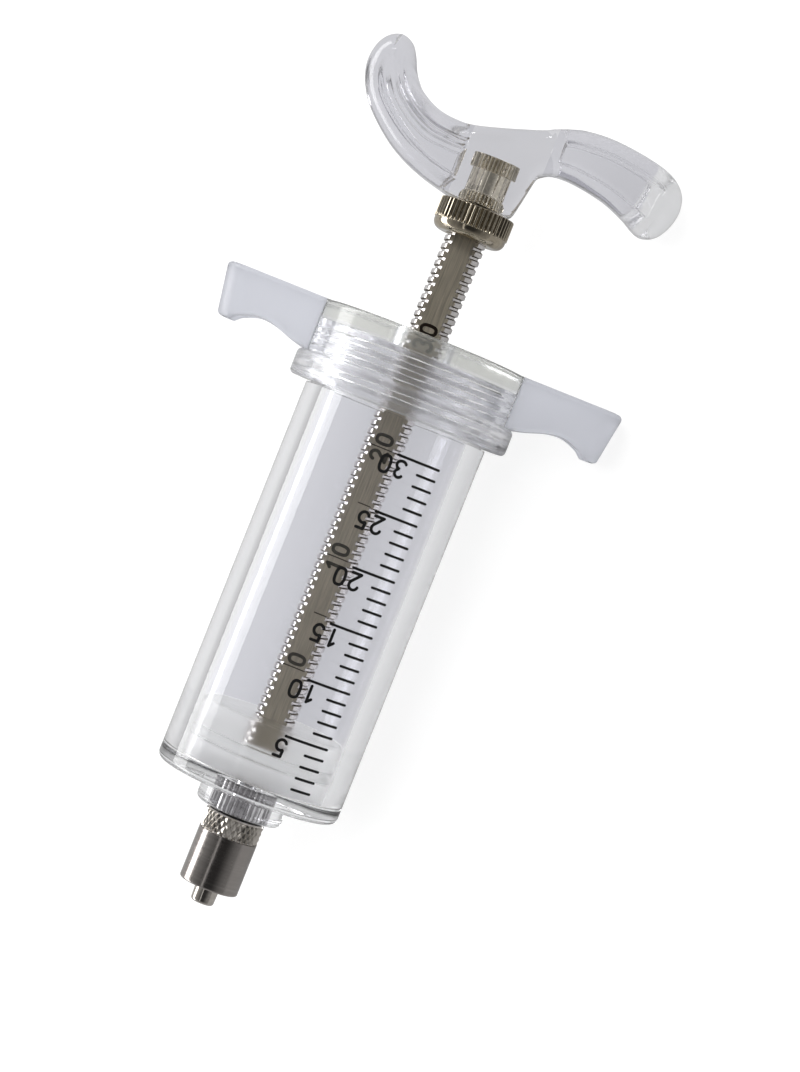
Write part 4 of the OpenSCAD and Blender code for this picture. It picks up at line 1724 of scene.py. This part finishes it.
    def skin(self, hub: float) -> np.ndarray:
        """Closed grid of points: the front, the wall over it, the back, the wall below it.

        Args:
            hub: height of the hub's underside.

        Returns:
            Grid of points, with one line of the plate in each row.
        """
        s = self.stations()
        lower, upper = self.edges(s)
        width = np.linalg.norm(upper - lower, axis=1)[:, None]
        across, rise = self.lines(s, width)
        inside = sum(
            smoothstep((s - a) / (b - a)) * smoothstep((d - s) / (d - c))
            for a, b, c, d in (self.left_pocket, self.right_pocket)
        )[:, None]
        t = (across / np.maximum(width, 1e-9))[..., None]
        flat = lower[:, None] * (1 - t) + upper[:, None] * t
        outline = np.vstack([lower, upper[::-1][1:-1]])
        edge_r = along(s, self.edge_r)
        near = np.clip(self.distance(flat, outline), 0, edge_r)
        drop = edge_r - np.sqrt(np.maximum(edge_r**2 - (edge_r - near) ** 2, 0))
        depth = self.half - drop - self.pocket_depth * rise * inside
        climb = np.linspace(-1, 1, 8)[None, 1:-1] * (self.half - edge_r)
        front = np.dstack([flat[..., 0], -depth, flat[..., 1] + hub])
        back = np.dstack([flat[..., 0], depth, flat[..., 1] + hub])[:, ::-1]

        def wall(edge: np.ndarray, y: np.ndarray) -> np.ndarray:
            """Side wall along an edge, from one face's rounding to the other's."""
            x, z = (np.broadcast_to(part, y.shape) for part in (edge[:, :1], edge[:, 1:] + hub))
            return np.dstack([x, y, z])

        return np.hstack([front, wall(upper, climb), back, wall(lower, -climb)])

    def build(self) -> None:
        """Builds the handle as one closed skin."""
        hub, _ = self.bench.reach("handle")

        def moulded(centres: np.ndarray, normals: np.ndarray) -> np.ndarray:
            """Tells the clearer right tip, the less polished arms and the hub's far side, which
            takes a darker copy of the hub's acrylic as painted shade.
            """
            arm = (centres[:, 0] < self.hub_side[0]) | (centres[:, 0] > self.hub_side[1])
            return np.select([centres[:, 0] > self.tip_side, arm, centres[:, 1] > 0], [3, 2, 1], 0)

        form = Form().add(self.skin(hub), False, True)
        piece = form.build("handle_body", self.bench, 50, moulded)
        finishes = [Finish.HUB, Finish.FAR_HUB, Finish.ARM, Finish.TIP]
        fit(piece, finishes, "plunger", ["handle"])


@dataclass(frozen=True)
class Piston:
    """Milky piston, in which the spindle's end stands, and its sealing ring."""

    bench: Bench
    front_t: float = 3.7
    groove_w: float = 1.9
    groove_r: float = 10.65
    ring_r: float = 12.7
    clearance: float = 0.12
    ring_gap: float = 0.08
    pole_r: float = 0.4
    columns: int = 160

    def build(self) -> None:
        """Builds the piston and the ring in its groove."""
        low, high = self.bench.reach("piston")
        outer_r = self.bench.radius("piston")
        front = low + self.clearance
        groove_low = low + self.front_t
        groove_high = groove_low + self.groove_w
        angles = ring_angles(self.columns)
        discs = section([
            Corner(self.pole_r, front),
            Corner(outer_r, front, 0.4),
            Corner(outer_r, groove_low, 0.3),
            Corner(self.groove_r, groove_low, 0.2),
            Corner(self.groove_r, groove_high, 0.2),
            Corner(outer_r, groove_high, 0.3),
            Corner(outer_r, high, 0.6),
            Corner(self.pole_r, high),
        ])
        form = Form().add(lathe(discs, angles), False, True)
        for z in (front, high):
            form.add(lathe(np.array([(self.pole_r, z), (0, z)]), angles), False, True)
        piece = form.build("piston_body", self.bench)
        fit(piece, Finish.PISTON, "plunger", ["piston"])
        inner_r, ring_low = self.groove_r + self.ring_gap, groove_low + self.ring_gap
        ring_high = groove_high - self.ring_gap
        ring = [
            Corner(inner_r, ring_low, 0.3),
            Corner(self.ring_r, ring_low, 0.6),
            Corner(self.ring_r, ring_high, 0.6),
            Corner(inner_r, ring_high, 0.3),
        ]
        piece = turned(self.bench, "piston_sealing_ring", ring, self.columns)
        fit(piece, Finish.RING, "plunger", ["piston_ring"])


# The studio


@dataclass(frozen=True)
class Studio:
    """Pale floor, soft light and the camera that looks down on the lying syringe.

    The picture has scale pixels to a millimetre. A look is a matt white's albedo and glow, and the
    floor has one for each kind of ray: the dim grey one in mirrors is painted shade, and the one
    through the plastic glows in a painted pool of light. Levels are greys of the surroundings by
    the cosine of the angle from the camera's side.
    """

    bench: Bench
    lean: float = math.radians(21.8)
    target: tuple[float, float] = (8.1, -4.1)
    raised: float = 12.0
    distance: float = 480.0
    scale: float = 6.0
    image_h: int = 1072
    sensor: float = 36.0
    camera_look: tuple[float, float] = (0.2, 0.88)
    # The floor's look in mirrors is a dim grey: painted shade
    mirrored_look: tuple[float, float] = (0.3, 0.12)
    through_look: tuple[float, float] = (0.12, 0.69)
    plain_look: tuple[float, float] = (0.8, 0.0)
    # A painted pool of light: the floor's glow seen through the plastic falls from full to
    # far_share between these distances, in metres, and more slowly on the right
    fall_span: tuple[float, float] = (0.03, 0.12)
    far_share: float = 0.5
    right_ease: float = 0.35
    floor_half: float = 3.0
    floor_drop: float = 0.0002
    clip: tuple[float, float] = (0.01, 20.0)
    bounces: int = 24
    mirror_bounces: int = 8
    room_levels: Pairs = ((0.0, 0.55), (0.3, 0.35), (0.75, 0.2), (0.96, 0.04))
    white_levels: Pairs = ((0.0, 0.7), (0.25, 1.0), (0.6, 0.6), (0.9, 0.28))

    def set_up(self, thing: bpy.types.Object, place: Vector, turn: Matrix) -> None:
        """Sets up a light or the camera over the syringe.

        Args:
            thing: the light or the camera.
            place: its place from the axis with the wings level, in metres: across, along, up.
            turn: its rotation with the wings level. The syringe's roll is added to both.
        """
        axis = Matrix.Translation((0, 0, self.bench.axis_z))
        roll = Matrix.Rotation(self.bench.roll, 4, "Y")
        thing.matrix_world = axis @ roll @ Matrix.Translation(place) @ turn.to_4x4()

    @staticmethod
    def glowing(
        board: Board, look: tuple[float, float], share: bpy.types.NodeSocket | None = None
    ) -> bpy.types.NodeSocket:
        """Matt white that also glows a little.

        Args:
            board: the material's nodes.
            look: albedo and glow.
            share: by how much the glow is scaled, from place to place.

        Returns:
            The shader's output socket.
        """
        albedo, glow = look
        diffuse = board.add("ShaderNodeBsdfDiffuse", Color=(albedo, albedo, albedo, 1))
        emission = board.add("ShaderNodeEmission", Color=(1, 1, 1, 1), Strength=glow)
        if share is not None:
            scaled = board.add("ShaderNodeMath", operation="MULTIPLY")
            scaled.inputs[1].default_value = glow
            board.join(share, scaled.inputs[0])
            board.join(scaled.outputs[0], emission.inputs["Strength"])
        both = board.add("ShaderNodeAddShader")
        board.join(diffuse.outputs[0], both.inputs[0])
        board.join(emission.outputs[0], both.inputs[1])
        return both.outputs[0]

    def near_share(self, board: Board) -> bpy.types.NodeSocket:
        """Share of the floor's glow seen through the plastic, a painted pool of light: 1 under the
        syringe, and far_share further out.

        It falls off more slowly on the right.

        Args:
            board: the floor's nodes.

        Returns:
            The share's socket.
        """
        place = board.add("ShaderNodeTexCoord")
        axes = board.add("ShaderNodeSeparateXYZ")
        away = board.add("ShaderNodeMath", operation="MAXIMUM")
        board.join(place.outputs["Object"], axes.inputs[0])
        for side, ease in enumerate((-1.0, self.right_ease)):
            eased = board.add("ShaderNodeMath", operation="MULTIPLY")
            eased.inputs[1].default_value = ease
            board.join(axes.outputs["X"], eased.inputs[0])
            board.join(eased.outputs[0], away.inputs[side])
        return board.mapped(away.outputs[0], self.fall_span, (1.0, self.far_share), "SMOOTHSTEP")

    def floor(self) -> None:
        """Large pale floor, which takes the shadow.

        It shows white to the camera. Through the plastic its glow falls off away from the syringe,
        a painted pool of light, and in what mirrors it, it is a dim grey, painted shade.
        """
        mesh = bpy.data.meshes.new("floor")
        a = self.floor_half
        mesh.from_pydata([(-a, -a, 0), (a, -a, 0), (a, a, 0), (-a, a, 0)], [], [(0, 1, 2, 3)])
        floor = bpy.data.objects.new("floor", mesh)
        bpy.context.scene.collection.objects.link(floor)
        floor.location.z = -self.floor_drop
        material = bpy.data.materials.new("pale_floor")
        material.use_nodes = True
        board = Board(material.node_tree)
        output = board.add("ShaderNodeOutputMaterial")
        path = board.add("ShaderNodeLightPath")
        shown = self.glowing(board, self.plain_look)
        looks = {
            "Is Glossy Ray": self.glowing(board, self.mirrored_look),
            "Is Transmission Ray": self.glowing(board, self.through_look, self.near_share(board)),
            "Is Camera Ray": self.glowing(board, self.camera_look),
        }
        for ray, look in looks.items():
            shown = board.mixed(path.outputs[ray], shown, look)
        board.join(shown, output.inputs["Surface"])
        mesh.materials.append(material)

    def world(self) -> None:
        """Surroundings that darken towards the camera.

        The camera sees white ones, through the plastic too. Every other ray meets a dim room.
        """
        world = bpy.data.worlds.new("studio")
        bpy.context.scene.world = world
        world.use_nodes = True
        board = Board(world.node_tree)
        output = board.add("ShaderNodeOutputWorld")
        room = board.add("ShaderNodeBackground", Strength=1.0)
        white = board.add("ShaderNodeBackground", Strength=1.0)
        path = board.add("ShaderNodeLightPath")
        shown = board.add("ShaderNodeMath", operation="MAXIMUM")
        place = board.add("ShaderNodeTexCoord")
        facing = board.add("ShaderNodeVectorMath", operation="DOT_PRODUCT")
        facing.inputs[1].default_value = (math.sin(self.bench.roll), 0, math.cos(self.bench.roll))
        board.join(place.outputs["Generated"], facing.inputs[0])
        for background, levels in ((room, self.room_levels), (white, self.white_levels)):
            greys = board.ramp(facing.outputs["Value"], [(at, (grey,) * 3) for at, grey in levels])
            board.join(greys, background.inputs["Color"])
        board.join(path.outputs["Is Camera Ray"], shown.inputs[0])
        board.join(path.outputs["Is Transmission Ray"], shown.inputs[1])
        mix = board.mixed(shown.outputs[0], room.outputs[0], white.outputs[0])
        board.join(mix, output.inputs["Surface"])

    def light(
        self,
        name: str,
        place: tuple[float, float, float],
        size: tuple[float, float],
        power: float,
        mirrored: bool = True,
        through: bool = True,
    ) -> None:
        """Soft box that faces the middle of the syringe.

        Args:
            name: the light's name.
            place: its middle as the camera sees it from the syringe's axis: to the right,
                along the axis and towards the camera, in metres.
            size: its width along the syringe and its height, in metres.
            power: its power, in watts.
            mirrored: whether metal and plastic mirror it.
            through: whether it is seen through the plastic.
        """
        data = bpy.data.lights.new(name, "AREA")
        data.shape = "RECTANGLE"
        data.size, data.size_y = size
        data.energy = power
        light = bpy.data.objects.new(name, data)
        bpy.context.scene.collection.objects.link(light)
        self.set_up(light, Vector(place), (-Vector(place)).to_track_quat("-Z", "Y").to_matrix())
        light.visible_glossy = mirrored
        light.visible_transmission = through

    def camera(self) -> None:
        """Camera that faces the scale, turned so that the handle leans to the upper right."""
        data = bpy.data.cameras.new("camera")
        data.lens = self.scale * self.distance * self.sensor / self.image_h
        data.sensor_width = self.sensor
        data.clip_start, data.clip_end = self.clip
        camera = bpy.data.objects.new("camera", data)
        bpy.context.scene.collection.objects.link(camera)
        target = Vector((self.target[0] * MM, self.target[1] * MM, 0))
        place = target + Vector((0, self.raised * MM, self.distance * MM))
        back = (place - target).normalized()
        up = Vector((-math.sin(self.lean), math.cos(self.lean), 0))
        right = up.cross(back).normalized()
        self.set_up(camera, place, Matrix((right, back.cross(right), back)).transposed())
        bpy.context.scene.camera = camera

    def build(self) -> None:
        """Builds floor, world, lights and camera."""
        self.floor()
        self.world()
        self.light("left_key_softbox", (-0.40, 0.0, -0.03), (1.0, 0.17), 2.4)
        self.light("camera_side_window", (-0.25, 0.0, 0.65), (1.0, 0.07), 0.16)
        self.light(
            "overhead_softbox", (-0.45, 0.12, 0.7), (0.6, 0.6), 5.6, mirrored=False, through=False
        )
        self.light("upper_left_strip", (-0.30, 0.45, 0.45), (0.3, 0.1), 0.9, through=False)
        self.camera()
        scene = bpy.context.scene
        scene.view_settings.view_transform = "Standard"
        scene.cycles.max_bounces = self.bounces
        scene.cycles.transmission_bounces = self.bounces
        scene.cycles.glossy_bounces = self.mirror_bounces


def main() -> None:
    """Builds the studio and every piece."""
    logging.basicConfig(level=logging.INFO, format="%(name)s: %(message)s")
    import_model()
    bench = Bench.from_frame()
    Studio(bench).build()
    barrel = Barrel(bench)
    barrel.build()
    Insert(
        bench, "nozzle_bush", "barrel", outer_r=3.6, waist_r=3.1, bore_r=2.18,
        low_band=2.6, high_band=2.3, teeth=30, finish=Finish.BUSH,
    ).build()
    Insert(
        bench, "handle_insert", "plunger", outer_r=4.0, waist_r=3.4, bore_r=2.58,
        low_band=1.8, high_band=2.4, teeth=36, finish=Finish.INSERT,
    ).build()
    Nozzle(bench).build()
    Cap(bench, barrel.thread()).build()
    Spindle(bench).build()
    DosingNut(bench).build()
    Handle(bench).build()
    Piston(bench).build()


if __name__ == "__main__":
    main()
